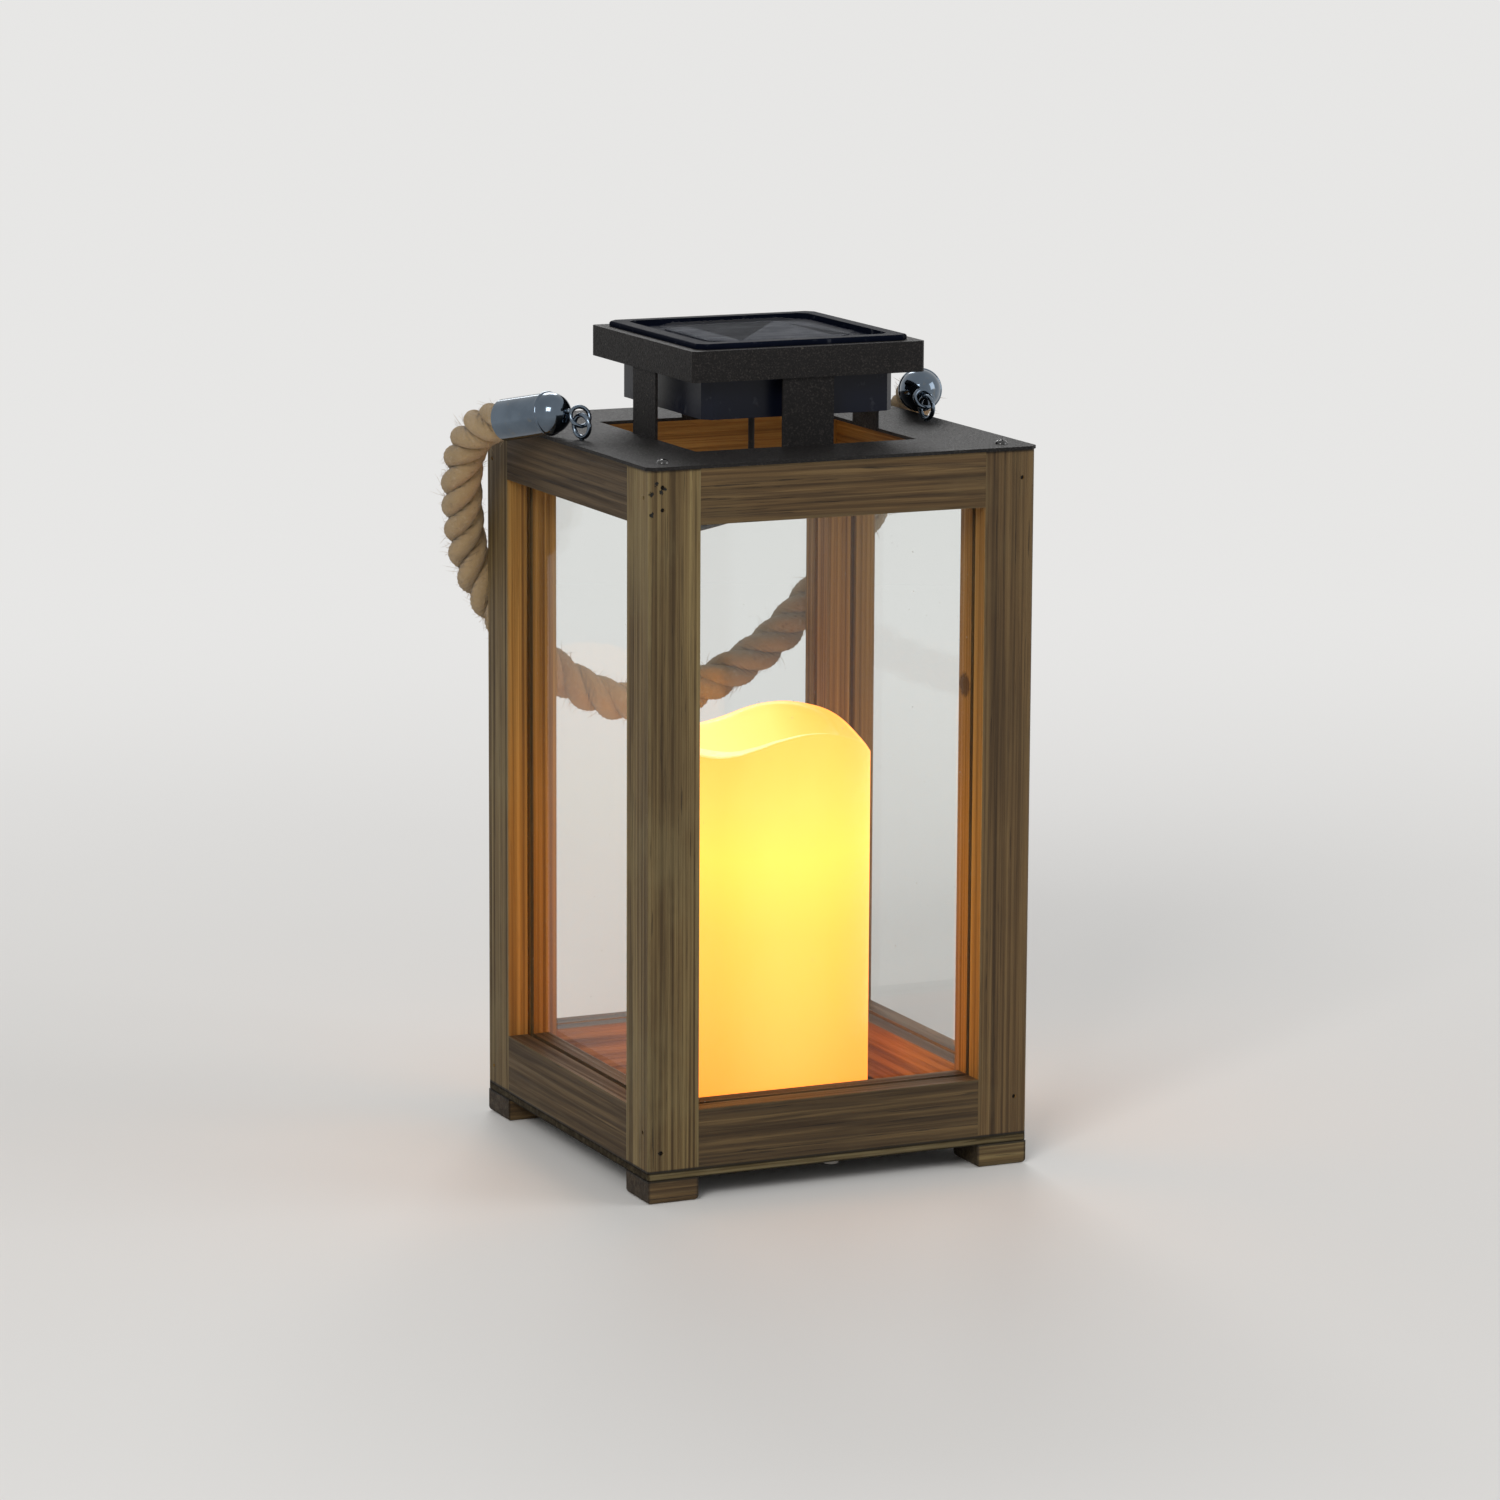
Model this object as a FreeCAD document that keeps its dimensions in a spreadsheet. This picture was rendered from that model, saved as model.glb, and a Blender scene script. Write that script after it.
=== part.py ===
import FreeCAD, Part
import math
import os
import Sketcher

# Candle lantern: a glazed timber frame on four feet, a black metal top with a raised cap,
# a solar unit hanging in the cap, an LED pillar candle, and a rope handle on two screw eyes.
# Millimetres, +Z up, origin on the ground under the middle of the feet, front facing -Y.

doc = FreeCAD.newDocument("CandleLantern")

# ---------------------------------------------------------------- driving dimensions
SIZES = [
    # timber frame
    ("body_width", 150.0), ("frame_height", 251.0), ("post_size", 19.5), ("post_edge", 0.8),
    ("rail_thick", 16.5), ("top_rail_height", 20.0), ("bottom_rail_height", 21.5),
    ("groove_depth", 3.0), ("tenon_clearance", 0.1), ("joint_gap", 0.05),
    ("brad_radius", 0.7), ("brad_length", 30.0), ("brad_inset", 5.0), ("brad_sunk", 0.6),
    ("brad_clearance", 0.05),
    # panes
    ("glass_thick", 2.0), ("glass_set_back", 8.0), ("glass_gap", 0.2),
    # base board and feet
    ("base_thick", 3.0), ("base_edge", 0.8), ("foot_size", 19.5), ("foot_height", 8.5),
    ("foot_edge", 1.8), ("foot_bore_radius", 4.0), ("foot_bore_depth", 4.5),
    # screws
    ("wood_screw_radius", 1.6), ("wood_screw_head_radius", 3.4), ("wood_screw_head_height", 2.2),
    ("wood_screw_bite", 13.0), ("plate_screw_radius", 1.2), ("plate_screw_head_radius", 2.3),
    ("plate_screw_head_height", 1.5), ("plate_screw_bite", 12.0), ("plate_screw_inset", 9.0),
    ("cross_width", 0.7), ("cross_span", 2.6), ("cross_depth", 0.7),
    ("screw_clearance", 0.2), ("thread_gap", 0.03),
    # metal top
    ("plate_thick", 1.2), ("plate_overhang", 1.0), ("plate_corner", 2.5),
    ("leg_width", 20.0), ("leg_span", 88.8), ("leg_thick", 1.0),
    ("cap_rise", 24.5), ("cap_height", 11.1), ("cap_wall", 1.0), ("cap_gap", 0.05), ("cap_corner", 1.0),
    # solar unit
    ("housing_width", 74.8), ("housing_height", 25.6), ("housing_wall", 1.8), ("housing_floor", 3.0),
    ("housing_corner", 3.0), ("housing_fit", 0.6), ("seal_thick", 0.8), ("seal_inset", 0.4),
    ("lid_width", 83.0), ("lid_thick", 1.9), ("lid_rim", 5.5), ("lid_corner", 3.0), ("lid_pan", 1.6),
    ("recess_depth", 2.0), ("lid_gap", 0.1), ("cell_width", 56.0), ("cell_corner", 9.0),
    ("cell_thick", 0.5), ("window_margin", 1.5), ("window_thick", 1.0), ("lid_boss_radius", 3.2),
    ("lid_boss_inset", 6.0), ("lid_screw_radius", 1.2), ("lid_screw_head_radius", 2.2),
    ("lid_screw_head_height", 1.6), ("lid_screw_bite", 1.0),
    # battery, board and switch inside the housing
    ("battery_radius", 7.25), ("battery_length", 50.5), ("battery_offset", 18.0),
    ("battery_clearance", 0.9), ("bay_end_gap", 1.95), ("bay_wall", 1.5), ("cover_thick", 1.6),
    ("cover_margin_x", 6.0), ("cover_margin_y", 1.8), ("cover_gap", 0.2), ("contact_thick", 0.4),
    ("contact_width", 11.0), ("contact_height", 12.0), ("contact_stub_radius", 3.0), ("contact_play", 0.05),
    ("board_length", 44.0), ("board_width", 18.0), ("board_thick", 1.6), ("board_offset", 19.0),
    ("board_height", 7.0), ("boss_radius", 2.4), ("board_screw_radius", 0.9),
    ("board_screw_head", 1.7), ("board_screw_length", 5.0), ("boss_inset", 3.0),
    ("switch_offset", 24.0), ("switch_length", 13.0), ("switch_width", 7.0), ("switch_height", 4.6),
    ("switch_travel", 4.0), ("knob_length", 4.0), ("knob_width", 2.8), ("knob_proud", 1.5),
    ("slide_head_length", 6.0), ("slide_head_width", 4.4), ("slide_head_height", 1.6), ("slide_gap", 0.2),
    # lead and its fittings
    ("lead_radius", 1.15), ("lead_gap", 0.05), ("gland_offset", 2.0), ("gland_neck_radius", 2.6),
    ("gland_flange_radius", 3.8), ("gland_flange_thick", 1.2), ("gland_taper", 4.0),
    ("lead_split", 12.0), ("clip_height", 5.0), ("clip_wall", 1.2), ("clip_reach", 7.0),
    ("clip_nail_radius", 0.6), ("clip_nail_length", 9.0), ("clip_nail_head", 1.3),
    # screw eyes
    ("eye_inset", 6.3), ("eye_radius", 4.0), ("eye_wire_radius", 0.85), ("eye_lift", 0.15),
    ("eye_shank", 13.0), ("eye_turn_left", 20.0), ("eye_turn_right", 10.0),
    # rope handle
    ("rope_radius", 7.0), ("ferrule_radius", 7.65), ("ferrule_length", 22.0), ("ferrule_bore_depth", 18.0),
    ("ferrule_gap", 0.08), ("ferrule_rim_radius", 8.1), ("ferrule_rim_width", 1.6), ("dome_height", 8.5),
    ("link_radius", 3.6), ("link_wire_radius", 0.75), ("rope_end_gap", 0.3),
    # candle
    ("candle_radius", 42.4), ("candle_rim", 145.0), ("candle_wall", 3.0), ("bowl_radius", 36.0),
    ("bowl_depth", 22.0), ("candle_roof", 4.0), ("candle_base_thick", 3.0), ("candle_base_gap", 0.2),
    ("stem_radius", 13.0), ("stem_wall", 2.0), ("stem_height", 88.0), ("led_board_radius", 14.0),
    ("led_board_thick", 1.6), ("led_radius", 2.5), ("led_height", 7.0), ("led_spread", 5.0),
    ("candle_screw_spread", 27.0), ("candle_boss_radius", 4.0), ("candle_boss_height", 9.0),
]

# Heights and half sizes that follow from the driving dimensions.
LEVELS = [
    ("half_width", "=Sizes.body_width / 2"),
    ("inner_half", "=Sizes.body_width / 2 - Sizes.post_size"),
    ("frame_bottom", "=Sizes.foot_height + Sizes.base_thick"),
    ("frame_top", "=frame_bottom + Sizes.frame_height"),
    ("plate_top", "=frame_top + Sizes.plate_thick"),
    ("cap_bottom", "=plate_top + Sizes.cap_rise"),
    ("cap_top", "=cap_bottom + Sizes.cap_height"),
    ("groove_half", "=Sizes.glass_thick / 2 + Sizes.glass_gap"),
    ("groove_line", "=half_width - Sizes.glass_set_back - Sizes.glass_thick / 2"),
    ("lid_bottom", "=cap_top + Sizes.lid_gap"),
    ("pan_bottom", "=lid_bottom - Sizes.lid_pan"),
    ("housing_top", "=pan_bottom - Sizes.seal_thick"),
    ("housing_bottom", "=cap_top - Sizes.housing_height"),
    ("floor_top", "=housing_bottom + Sizes.housing_floor"),
    ("bay_half_length", "=Sizes.battery_length / 2 + Sizes.bay_end_gap"),
    ("bay_half_width", "=Sizes.battery_radius + Sizes.battery_clearance"),
    ("battery_line", "=housing_bottom + Sizes.cover_thick + Sizes.battery_radius + Sizes.lead_gap * 4"),
    ("boss_line", "=Sizes.housing_width / 2 - Sizes.lid_boss_inset"),
    ("board_bottom", "=floor_top + Sizes.board_height"),
    ("eye_line", "=half_width - Sizes.eye_inset"),
    ("eye_height", "=plate_top + Sizes.eye_radius + Sizes.eye_wire_radius + Sizes.eye_lift"),
    ("post_middle", "=half_width - Sizes.foot_size / 2"),
    ("screw_line", "=half_width - Sizes.plate_screw_inset"),
    ("rail_middle", "=half_width - Sizes.rail_thick / 2"),
    ("led_bottom", "=frame_bottom + Sizes.candle_base_thick + Sizes.stem_height"),
    ("lead_break", "=frame_top - Sizes.lead_split"),
]


def fill_sheet(name, rows):
    """A spreadsheet with one named value on each row."""
    made = doc.addObject("Spreadsheet::Sheet", name)
    for row, (alias, value) in enumerate(rows, start=1):
        made.set("A%d" % row, alias)
        made.set("B%d" % row, str(value))
        made.setAlias("B%d" % row, alias)
    doc.recompute()
    return made


sizes = fill_sheet("Sizes", SIZES)
levels = fill_sheet("Levels", LEVELS)


def size(alias):
    return float(getattr(sizes, alias))


def level(alias):
    return float(getattr(levels, alias))


# ---------------------------------------------------------------- small helpers
X_AXIS = FreeCAD.Vector(1, 0, 0)
Y_AXIS = FreeCAD.Vector(0, 1, 0)
Z_AXIS = FreeCAD.Vector(0, 0, 1)
QUARTERS = range(4)
SIDES = ("front", "right", "back", "left")
CORNERS = ("front_left", "front_right", "back_right", "back_left")
PARTS = []


def keep(piece, label):
    """Name a finished sub-part and put it on the list of exported pieces."""
    piece.Label = label
    PARTS.append(piece)
    return piece


def vector(x, y, z):
    return FreeCAD.Vector(x, y, z)


def about_z(quarter):
    return FreeCAD.Rotation(Z_AXIS, 90 * quarter)


def turned(quarter, x, y):
    """The two expressions of a point turned about Z by a number of quarter turns."""
    return ((x, y), ("-(%s)" % y, x), ("-(%s)" % x, "-(%s)" % y), (y, "-(%s)" % x))[quarter]


def place(piece, x="0", y="0", z="0", rotation=None):
    """Bind where a piece stands; a rotation, if any, stays as given."""
    if rotation is not None:
        piece.Placement = FreeCAD.Placement(vector(0, 0, 0), rotation)
    for axis, text in zip("xyz", (x, y, z)):
        piece.setExpression("Placement.Base." + axis, text)
    return piece


def box(name, length, width, height, x, y, z, rotation=None):
    piece = doc.addObject("Part::Box", name)
    for prop, text in (("Length", length), ("Width", width), ("Height", height)):
        piece.setExpression(prop, text)
    return place(piece, x, y, z, rotation)


def centred_box(name, length, width, height, x, y, z):
    """A box centred on x and y that stands on z."""
    return box(name, length, width, height, "%s - (%s) / 2" % (x, length), "%s - (%s) / 2" % (y, width), z)


def cylinder(name, radius, height, x, y, z, rotation=None):
    piece = doc.addObject("Part::Cylinder", name)
    piece.setExpression("Radius", radius)
    piece.setExpression("Height", height)
    return place(piece, x, y, z, rotation)


def fuse(name, pieces):
    piece = doc.addObject("Part::MultiFuse", name)
    piece.Shapes = pieces
    return piece


def cut(name, base, tools):
    """The base less every tool."""
    tool = tools[0] if len(tools) == 1 else fuse(name + "_tools", tools)
    piece = doc.addObject("Part::Cut", name)
    piece.Base = base
    piece.Tool = tool
    return piece


def group(name, pieces):
    """Identical loose pieces kept together as one sub-part."""
    piece = doc.addObject("Part::Compound", name)
    piece.Links = pieces
    return keep(piece, name)


def new_body(name, z="0", rotation=None):
    body = doc.addObject("PartDesign::Body", name)
    return place(body, "0", "0", z, rotation)


def sketch_on(body, name, role, offset=None):
    """A sketch on one of the body's own origin planes, moved along its normal by an offset."""
    sketch = body.newObject("Sketcher::SketchObject", name)
    plane = [feature for feature in body.Origin.OriginFeatures if feature.Role == role][0]
    sketch.AttachmentSupport = [(plane, "")]
    sketch.MapMode = "FlatFace"
    if offset is not None:
        sketch.setExpression("AttachmentOffset.Base.z", offset)
    return sketch


def fix_point(sketch, geometry, point, spot):
    """Hold a point at two distances from the sketch origin."""
    for axis, text in zip("XY", spot):
        rule = Sketcher.Constraint("Distance" + axis, -1, 1, geometry, point, 1.0)
        index = sketch.addConstraint(rule)
        sketch.setExpression("Constraints[%d]" % index, text)


def polygon(sketch, corners):
    """A closed outline through corners given as pairs of expressions."""
    count = len(corners)
    first = sketch.GeometryCount
    turns = [2 * math.pi * i / count for i in range(count)]
    spots = [vector(math.cos(turn), math.sin(turn), 0) for turn in turns]
    for i in range(count):
        sketch.addGeometry(Part.LineSegment(spots[i], spots[(i + 1) % count]), False)
    for i in range(count):
        sketch.addConstraint(Sketcher.Constraint("Coincident", first + i, 2, first + (i + 1) % count, 1))
    for i, corner in enumerate(corners):
        fix_point(sketch, first + i, 1, corner)


def circles(sketch, centres, radius):
    for centre in centres:
        index = sketch.addGeometry(Part.Circle(vector(0, 0, 0), Z_AXIS, 1.0), False)
        rule = sketch.addConstraint(Sketcher.Constraint("Radius", index, 1.0))
        sketch.setExpression("Constraints[%d]" % rule, radius)
        fix_point(sketch, index, 3, centre)


def rectangle(x0, x1, y0, y1):
    return [(x0, y0), (x1, y0), (x1, y1), (x0, y1)]


def square(half):
    return rectangle("-(%s)" % half, half, "-(%s)" % half, half)


def cut_square(half, corner):
    """A square about the origin with its corners cut off."""
    near = "(%s) - (%s)" % (half, corner)
    points = []
    for quarter in QUARTERS:
        points.append(turned(quarter, "-(%s)" % half, "-(%s)" % near))
        points.append(turned(quarter, "-(%s)" % near, "-(%s)" % half))
    return points


def pad(body, sketch, length, midplane=False):
    feature = body.newObject("PartDesign::Pad", sketch.Name + "_pad")
    feature.Profile = sketch
    feature.Midplane = midplane
    feature.setExpression("Length", length)
    sketch.Visibility = False
    return feature


def pocket(body, sketch, length=None, upward=False):
    """A pocket of a length, or right through both ways when no length is given."""
    feature = body.newObject("PartDesign::Pocket", sketch.Name + "_pocket")
    feature.Profile = sketch
    if length is None:
        feature.Type = "ThroughAll"
        feature.Midplane = True
    else:
        feature.Reversed = upward
        feature.setExpression("Length", length)
    sketch.Visibility = False
    return feature


def round_edges(body, base, direction, radius):
    """Round every edge of the flat faces that look along a direction."""
    doc.recompute()
    names = []
    for index, face in enumerate(base.Shape.Faces, start=1):
        if abs(face.normalAt(0, 0).dot(direction) - 1) < 1e-6:
            names.append("Face%d" % index)
    feature = body.newObject("PartDesign::Fillet", base.Name + "_round")
    feature.Base = (base, names)
    feature.setExpression("Radius", radius)
    return feature


# ---------------------------------------------------------------- timber frame
# Brads pin each rail end through the post beside it. The two faces of a post carry them at
# different heights, measured down from the frame top or up from its bottom, so none cross.
BRADS_A = (("Sizes.frame_height - 6"), ("Sizes.frame_height - 14"), ("7"))
BRADS_B = (("Sizes.frame_height - 10"), ("14"))
BRAD_HOLE = "Sizes.brad_radius + Sizes.brad_clearance"
BRAD_LINE = "-Levels.half_width + Sizes.brad_inset"


def post(quarter):
    """A square post with a groove down each inner face; panes and rail tongues slide in."""
    body = new_body("post_" + CORNERS[quarter], "Levels.frame_bottom", about_z(quarter))
    outer = "-Levels.half_width"
    inner = "-Levels.inner_half"
    edge = outer + " + Sizes.post_edge"
    deep = inner + " - Sizes.groove_depth"
    low = "-Levels.groove_line - Levels.groove_half"
    high = "-Levels.groove_line + Levels.groove_half"
    outline = [(edge, outer), (inner, outer), (inner, low), (deep, low), (deep, high), (inner, high)]
    outline += [(inner, inner), (high, inner), (high, deep), (low, deep), (low, inner), (outer, inner)]
    outline.append((outer, edge))
    profile = sketch_on(body, body.Name + "_profile", "XY_Plane")
    polygon(profile, outline)
    pad(body, profile, "Sizes.frame_height")
    front = sketch_on(body, body.Name + "_front_holes", "XZ_Plane")
    circles(front, [(BRAD_LINE, height) for height in BRADS_A], BRAD_HOLE)
    pocket(body, front)
    side = sketch_on(body, body.Name + "_side_holes", "YZ_Plane")
    circles(side, [(BRAD_LINE, height) for height in BRADS_B], BRAD_HOLE)
    pocket(body, side)
    foot = sketch_on(body, body.Name + "_foot_hole", "XY_Plane")
    circles(foot, [("-Levels.post_middle", "-Levels.post_middle")], "Sizes.wood_screw_radius + Sizes.thread_gap")
    pocket(body, foot, "Sizes.wood_screw_bite + 0.5", upward=True)
    top = sketch_on(body, body.Name + "_top_hole", "XY_Plane", "Sizes.frame_height")
    circles(top, [("-Levels.screw_line", "-Levels.screw_line")], "Sizes.plate_screw_radius + Sizes.thread_gap")
    pocket(body, top, "Sizes.plate_screw_bite + 0.5")
    return keep(body, body.Name)


def rail(kind, quarter):
    """A rail between two posts: a tongue at each end, and a groove for the pane along one edge."""
    top = kind == "top"
    height = "Sizes.%s_rail_height" % kind
    base = "Levels.frame_top - " + height if top else "Levels.frame_bottom"
    body = new_body("%s_rail_%s" % (kind, SIDES[quarter]), base, about_z(quarter))
    back = "-Levels.half_width + Sizes.rail_thick"
    low = "-Levels.groove_line - Levels.groove_half"
    high = "-Levels.groove_line + Levels.groove_half"
    if top:
        outline = [("-Levels.half_width", "0"), (low, "0"), (low, "Sizes.groove_depth"), (high, "Sizes.groove_depth"),
                   (high, "0"), (back, "0"), (back, height), ("-Levels.half_width", height)]
        tongue = ("Sizes.groove_depth", height)
    else:
        edge = height + " - Sizes.groove_depth"
        outline = [("-Levels.half_width", "0"), (back, "0"), (back, height), (high, height), (high, edge),
                   (low, edge), (low, height), ("-Levels.half_width", height)]
        tongue = ("0", edge)
    profile = sketch_on(body, body.Name + "_profile", "YZ_Plane")
    polygon(profile, outline)
    pad(body, profile, "2 * Levels.inner_half - 2 * Sizes.joint_gap", midplane=True)
    tenon = sketch_on(body, body.Name + "_tongue", "YZ_Plane")
    polygon(tenon, rectangle(low + " + Sizes.tenon_clearance", high + " - Sizes.tenon_clearance", *tongue))
    pad(body, tenon, "2 * Levels.inner_half + 2 * Sizes.groove_depth - 2 * Sizes.tenon_clearance", midplane=True)
    depth = "Sizes.brad_length - Sizes.post_size + 1"
    shift = "(Sizes.frame_height - %s)" % height if top else "0"
    for end, heights, upward in (("right", BRADS_A, False), ("left", BRADS_B, True)):
        rows = heights[:-1] if top else heights[-1:]
        offset = "Levels.inner_half" if end == "right" else "-Levels.inner_half"
        holes = sketch_on(body, "%s_%s_holes" % (body.Name, end), "YZ_Plane", offset)
        circles(holes, [(BRAD_LINE, "%s - %s" % (row, shift)) for row in rows], BRAD_HOLE)
        pocket(body, holes, depth, upward)
    if top and SIDES[quarter] in ("left", "right"):
        eye = sketch_on(body, body.Name + "_eye_hole", "XY_Plane", height)
        circles(eye, [("0", "-Levels.eye_line")], "Sizes.eye_wire_radius + Sizes.thread_gap")
        pocket(body, eye, "Sizes.eye_shank + 0.5")
    if not top:
        under = sketch_on(body, body.Name + "_screw_hole", "XY_Plane")
        circles(under, [("0", "-Levels.rail_middle")], "Sizes.wood_screw_radius + Sizes.thread_gap")
        pocket(body, under, "Sizes.wood_screw_bite + 0.5", upward=True)
    return keep(body, body.Name)


def pane(quarter):
    """A sheet of glass standing in the grooves of its posts and rails."""
    bottom = "Levels.frame_bottom + Sizes.bottom_rail_height - Sizes.groove_depth"
    top = "Levels.frame_top - Sizes.top_rail_height + Sizes.groove_depth - Sizes.glass_gap"
    half = "Levels.inner_half + Sizes.groove_depth - Sizes.glass_gap"
    body = new_body("glass_" + SIDES[quarter], bottom, about_z(quarter))
    outline = sketch_on(body, body.Name + "_outline", "XY_Plane")
    near = "-Levels.half_width + Sizes.glass_set_back"
    polygon(outline, rectangle("-(%s)" % half, half, near, near + " + Sizes.glass_thick"))
    pad(body, outline, "%s - (%s)" % (top, bottom))
    return keep(body, body.Name)


def brads():
    """Headless brads, punched a little below the timber's face."""
    made = []
    start = "-Levels.half_width + Sizes.brad_sunk"
    along_y = FreeCAD.Rotation(X_AXIS, -90)
    along_x = FreeCAD.Rotation(Y_AXIS, 90)
    for quarter in QUARTERS:
        rows = [(BRAD_LINE, start, height, along_y) for height in BRADS_A]
        rows += [(start, BRAD_LINE, height, along_x) for height in BRADS_B]
        for x, y, height, lie in rows:
            spot = turned(quarter, x, y)
            name = "brad_%d" % (len(made) + 1)
            rise = "Levels.frame_bottom + " + height
            turn = about_z(quarter).multiply(lie)
            made.append(cylinder(name, "Sizes.brad_radius", "Sizes.brad_length", spot[0], spot[1], rise, turn))
    group("frame_brads", made)


def base_board():
    """The thin board that closes the frame below and carries the candle."""
    body = new_body("base_board", "Sizes.foot_height")
    outline = sketch_on(body, "base_board_outline", "XY_Plane")
    polygon(outline, cut_square("Levels.half_width", "Sizes.post_edge"))
    slab = pad(body, outline, "Sizes.base_thick")
    holes = sketch_on(body, "base_board_holes", "XY_Plane")
    centres = [turned(q, "-Levels.post_middle", "-Levels.post_middle") for q in QUARTERS]
    centres += [turned(q, "0", "-Levels.rail_middle") for q in QUARTERS]
    centres += [("-Sizes.candle_screw_spread", "0"), ("Sizes.candle_screw_spread", "0")]
    circles(holes, centres, "Sizes.wood_screw_radius + Sizes.screw_clearance")
    drilled = pocket(body, holes)
    round_edges(body, drilled, vector(0, 0, -1), "Sizes.base_edge / 2")
    return keep(body, "base_board")


def foot(quarter):
    """A square block with a rounded sole and a counterbored screw hole."""
    body = new_body("foot_" + CORNERS[quarter], "0", about_z(quarter))
    outline = sketch_on(body, body.Name + "_outline", "XY_Plane")
    inner = "-Levels.half_width + Sizes.foot_size"
    polygon(outline, rectangle("-Levels.half_width", inner, "-Levels.half_width", inner))
    block = pad(body, outline, "Sizes.foot_height")
    worn = round_edges(body, block, vector(0, 0, -1), "Sizes.foot_edge")
    bore = sketch_on(body, body.Name + "_bore", "XY_Plane")
    centre = [("-Levels.post_middle", "-Levels.post_middle")]
    circles(bore, centre, "Sizes.foot_bore_radius")
    pocket(body, bore, "Sizes.foot_bore_depth", upward=True)
    hole = sketch_on(body, body.Name + "_hole", "XY_Plane")
    circles(hole, centre, "Sizes.wood_screw_radius + Sizes.screw_clearance")
    pocket(body, hole)
    return keep(body, body.Name)


def wood_screws(label, centres, seat, through):
    """Pan-head screws driven upwards: head under the seat, shank through the boards and into wood."""
    made = []
    for x, y in centres:
        name = "%s_%d" % (label, len(made) + 1)
        head = cylinder(name + "_head", "Sizes.wood_screw_head_radius", "Sizes.wood_screw_head_height", x, y,
                        "%s - Sizes.wood_screw_head_height" % seat)
        shank = cylinder(name + "_shank", "Sizes.wood_screw_radius", "%s + Sizes.wood_screw_bite" % through, x, y, seat)
        made.append(fuse(name, [head, shank]))
    group(label, made)


def timber():
    for quarter in QUARTERS:
        post(quarter)
        rail("top", quarter)
        rail("bottom", quarter)
        pane(quarter)
        foot(quarter)
    brads()
    base_board()
    corners = [turned(q, "-Levels.post_middle", "-Levels.post_middle") for q in QUARTERS]
    wood_screws("foot_screws", corners, "Sizes.foot_bore_depth", "(Levels.frame_bottom - Sizes.foot_bore_depth)")
    middles = [turned(q, "0", "-Levels.rail_middle") for q in QUARTERS]
    wood_screws("base_screws", middles, "Sizes.foot_height", "Sizes.base_thick")


# ---------------------------------------------------------------- metal top
def top_plate():
    """The black plate: a square opening, and four legs bent up from its edges."""
    body = new_body("top_plate", "Levels.frame_top")
    outline = sketch_on(body, "top_plate_outline", "XY_Plane")
    polygon(outline, cut_square("Levels.half_width + Sizes.plate_overhang", "Sizes.plate_corner"))
    pad(body, outline, "Sizes.plate_thick")
    opening = sketch_on(body, "top_plate_opening", "XY_Plane")
    polygon(opening, square("Sizes.leg_span / 2 - Sizes.leg_thick"))
    pocket(body, opening)
    legs = sketch_on(body, "top_plate_legs", "XY_Plane")
    for quarter in QUARTERS:
        outer = "-Sizes.leg_span / 2"
        inner = "-Sizes.leg_span / 2 + Sizes.leg_thick"
        half = "Sizes.leg_width / 2"
        corners = [("-" + half, outer), (half, outer), (half, inner), ("-" + half, inner)]
        polygon(legs, [turned(quarter, x, y) for x, y in corners])
    pad(body, legs, "Levels.cap_top - Sizes.cap_wall - Sizes.joint_gap - Levels.frame_top")
    holes = sketch_on(body, "top_plate_holes", "XY_Plane")
    centres = [turned(q, "-Levels.screw_line", "-Levels.screw_line") for q in QUARTERS]
    circles(holes, centres, "Sizes.plate_screw_radius + Sizes.screw_clearance")
    circles(holes, [("-Levels.eye_line", "0"), ("Levels.eye_line", "0")], "Sizes.eye_wire_radius + Sizes.screw_clearance")
    pocket(body, holes)
    return keep(body, "top_plate")


def cap_frame():
    """The shallow square cap, welded round the leg tops, with an opening for the solar unit."""
    body = new_body("cap_frame", "Levels.cap_bottom")
    inside = "Sizes.leg_span / 2 + Sizes.cap_gap"
    outline = sketch_on(body, "cap_frame_outline", "XY_Plane")
    polygon(outline, cut_square(inside + " + Sizes.cap_wall", "Sizes.cap_corner"))
    pad(body, outline, "Sizes.cap_height")
    hollow = sketch_on(body, "cap_frame_hollow", "XY_Plane")
    polygon(hollow, square(inside))
    pocket(body, hollow, "Sizes.cap_height - Sizes.cap_wall", upward=True)
    opening = sketch_on(body, "cap_frame_opening", "XY_Plane")
    polygon(opening, square("Sizes.housing_width / 2 + Sizes.housing_fit"))
    pocket(body, opening)
    return keep(body, "cap_frame")


def plate_screws():
    """Four small domed screws with a cross slot, one over each post."""
    made = []
    span = "Sizes.cross_span"
    width = "Sizes.cross_width"
    floor = "Levels.plate_top + Sizes.plate_screw_head_height - Sizes.cross_depth"
    for quarter in QUARTERS:
        x, y = turned(quarter, "-Levels.screw_line", "-Levels.screw_line")
        name = "plate_screw_%d" % (quarter + 1)
        head = doc.addObject("Part::Ellipsoid", name + "_head")
        head.Angle1 = 0
        head.setExpression("Radius1", "Sizes.plate_screw_head_height")
        head.setExpression("Radius2", "Sizes.plate_screw_head_radius")
        head.setExpression("Radius3", "Sizes.plate_screw_head_radius")
        place(head, x, y, "Levels.plate_top")
        shank = cylinder(name + "_shank", "Sizes.plate_screw_radius", "Sizes.plate_thick + Sizes.plate_screw_bite",
                         x, y, "Levels.frame_top - Sizes.plate_screw_bite")
        slots = [centred_box(name + "_slot_a", span, width, "Sizes.plate_screw_head_height", x, y, floor),
                 centred_box(name + "_slot_b", width, span, "Sizes.plate_screw_head_height", x, y, floor)]
        made.append(cut(name, fuse(name + "_solid", [head, shank]), slots))
    group("plate_screws", made)


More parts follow.
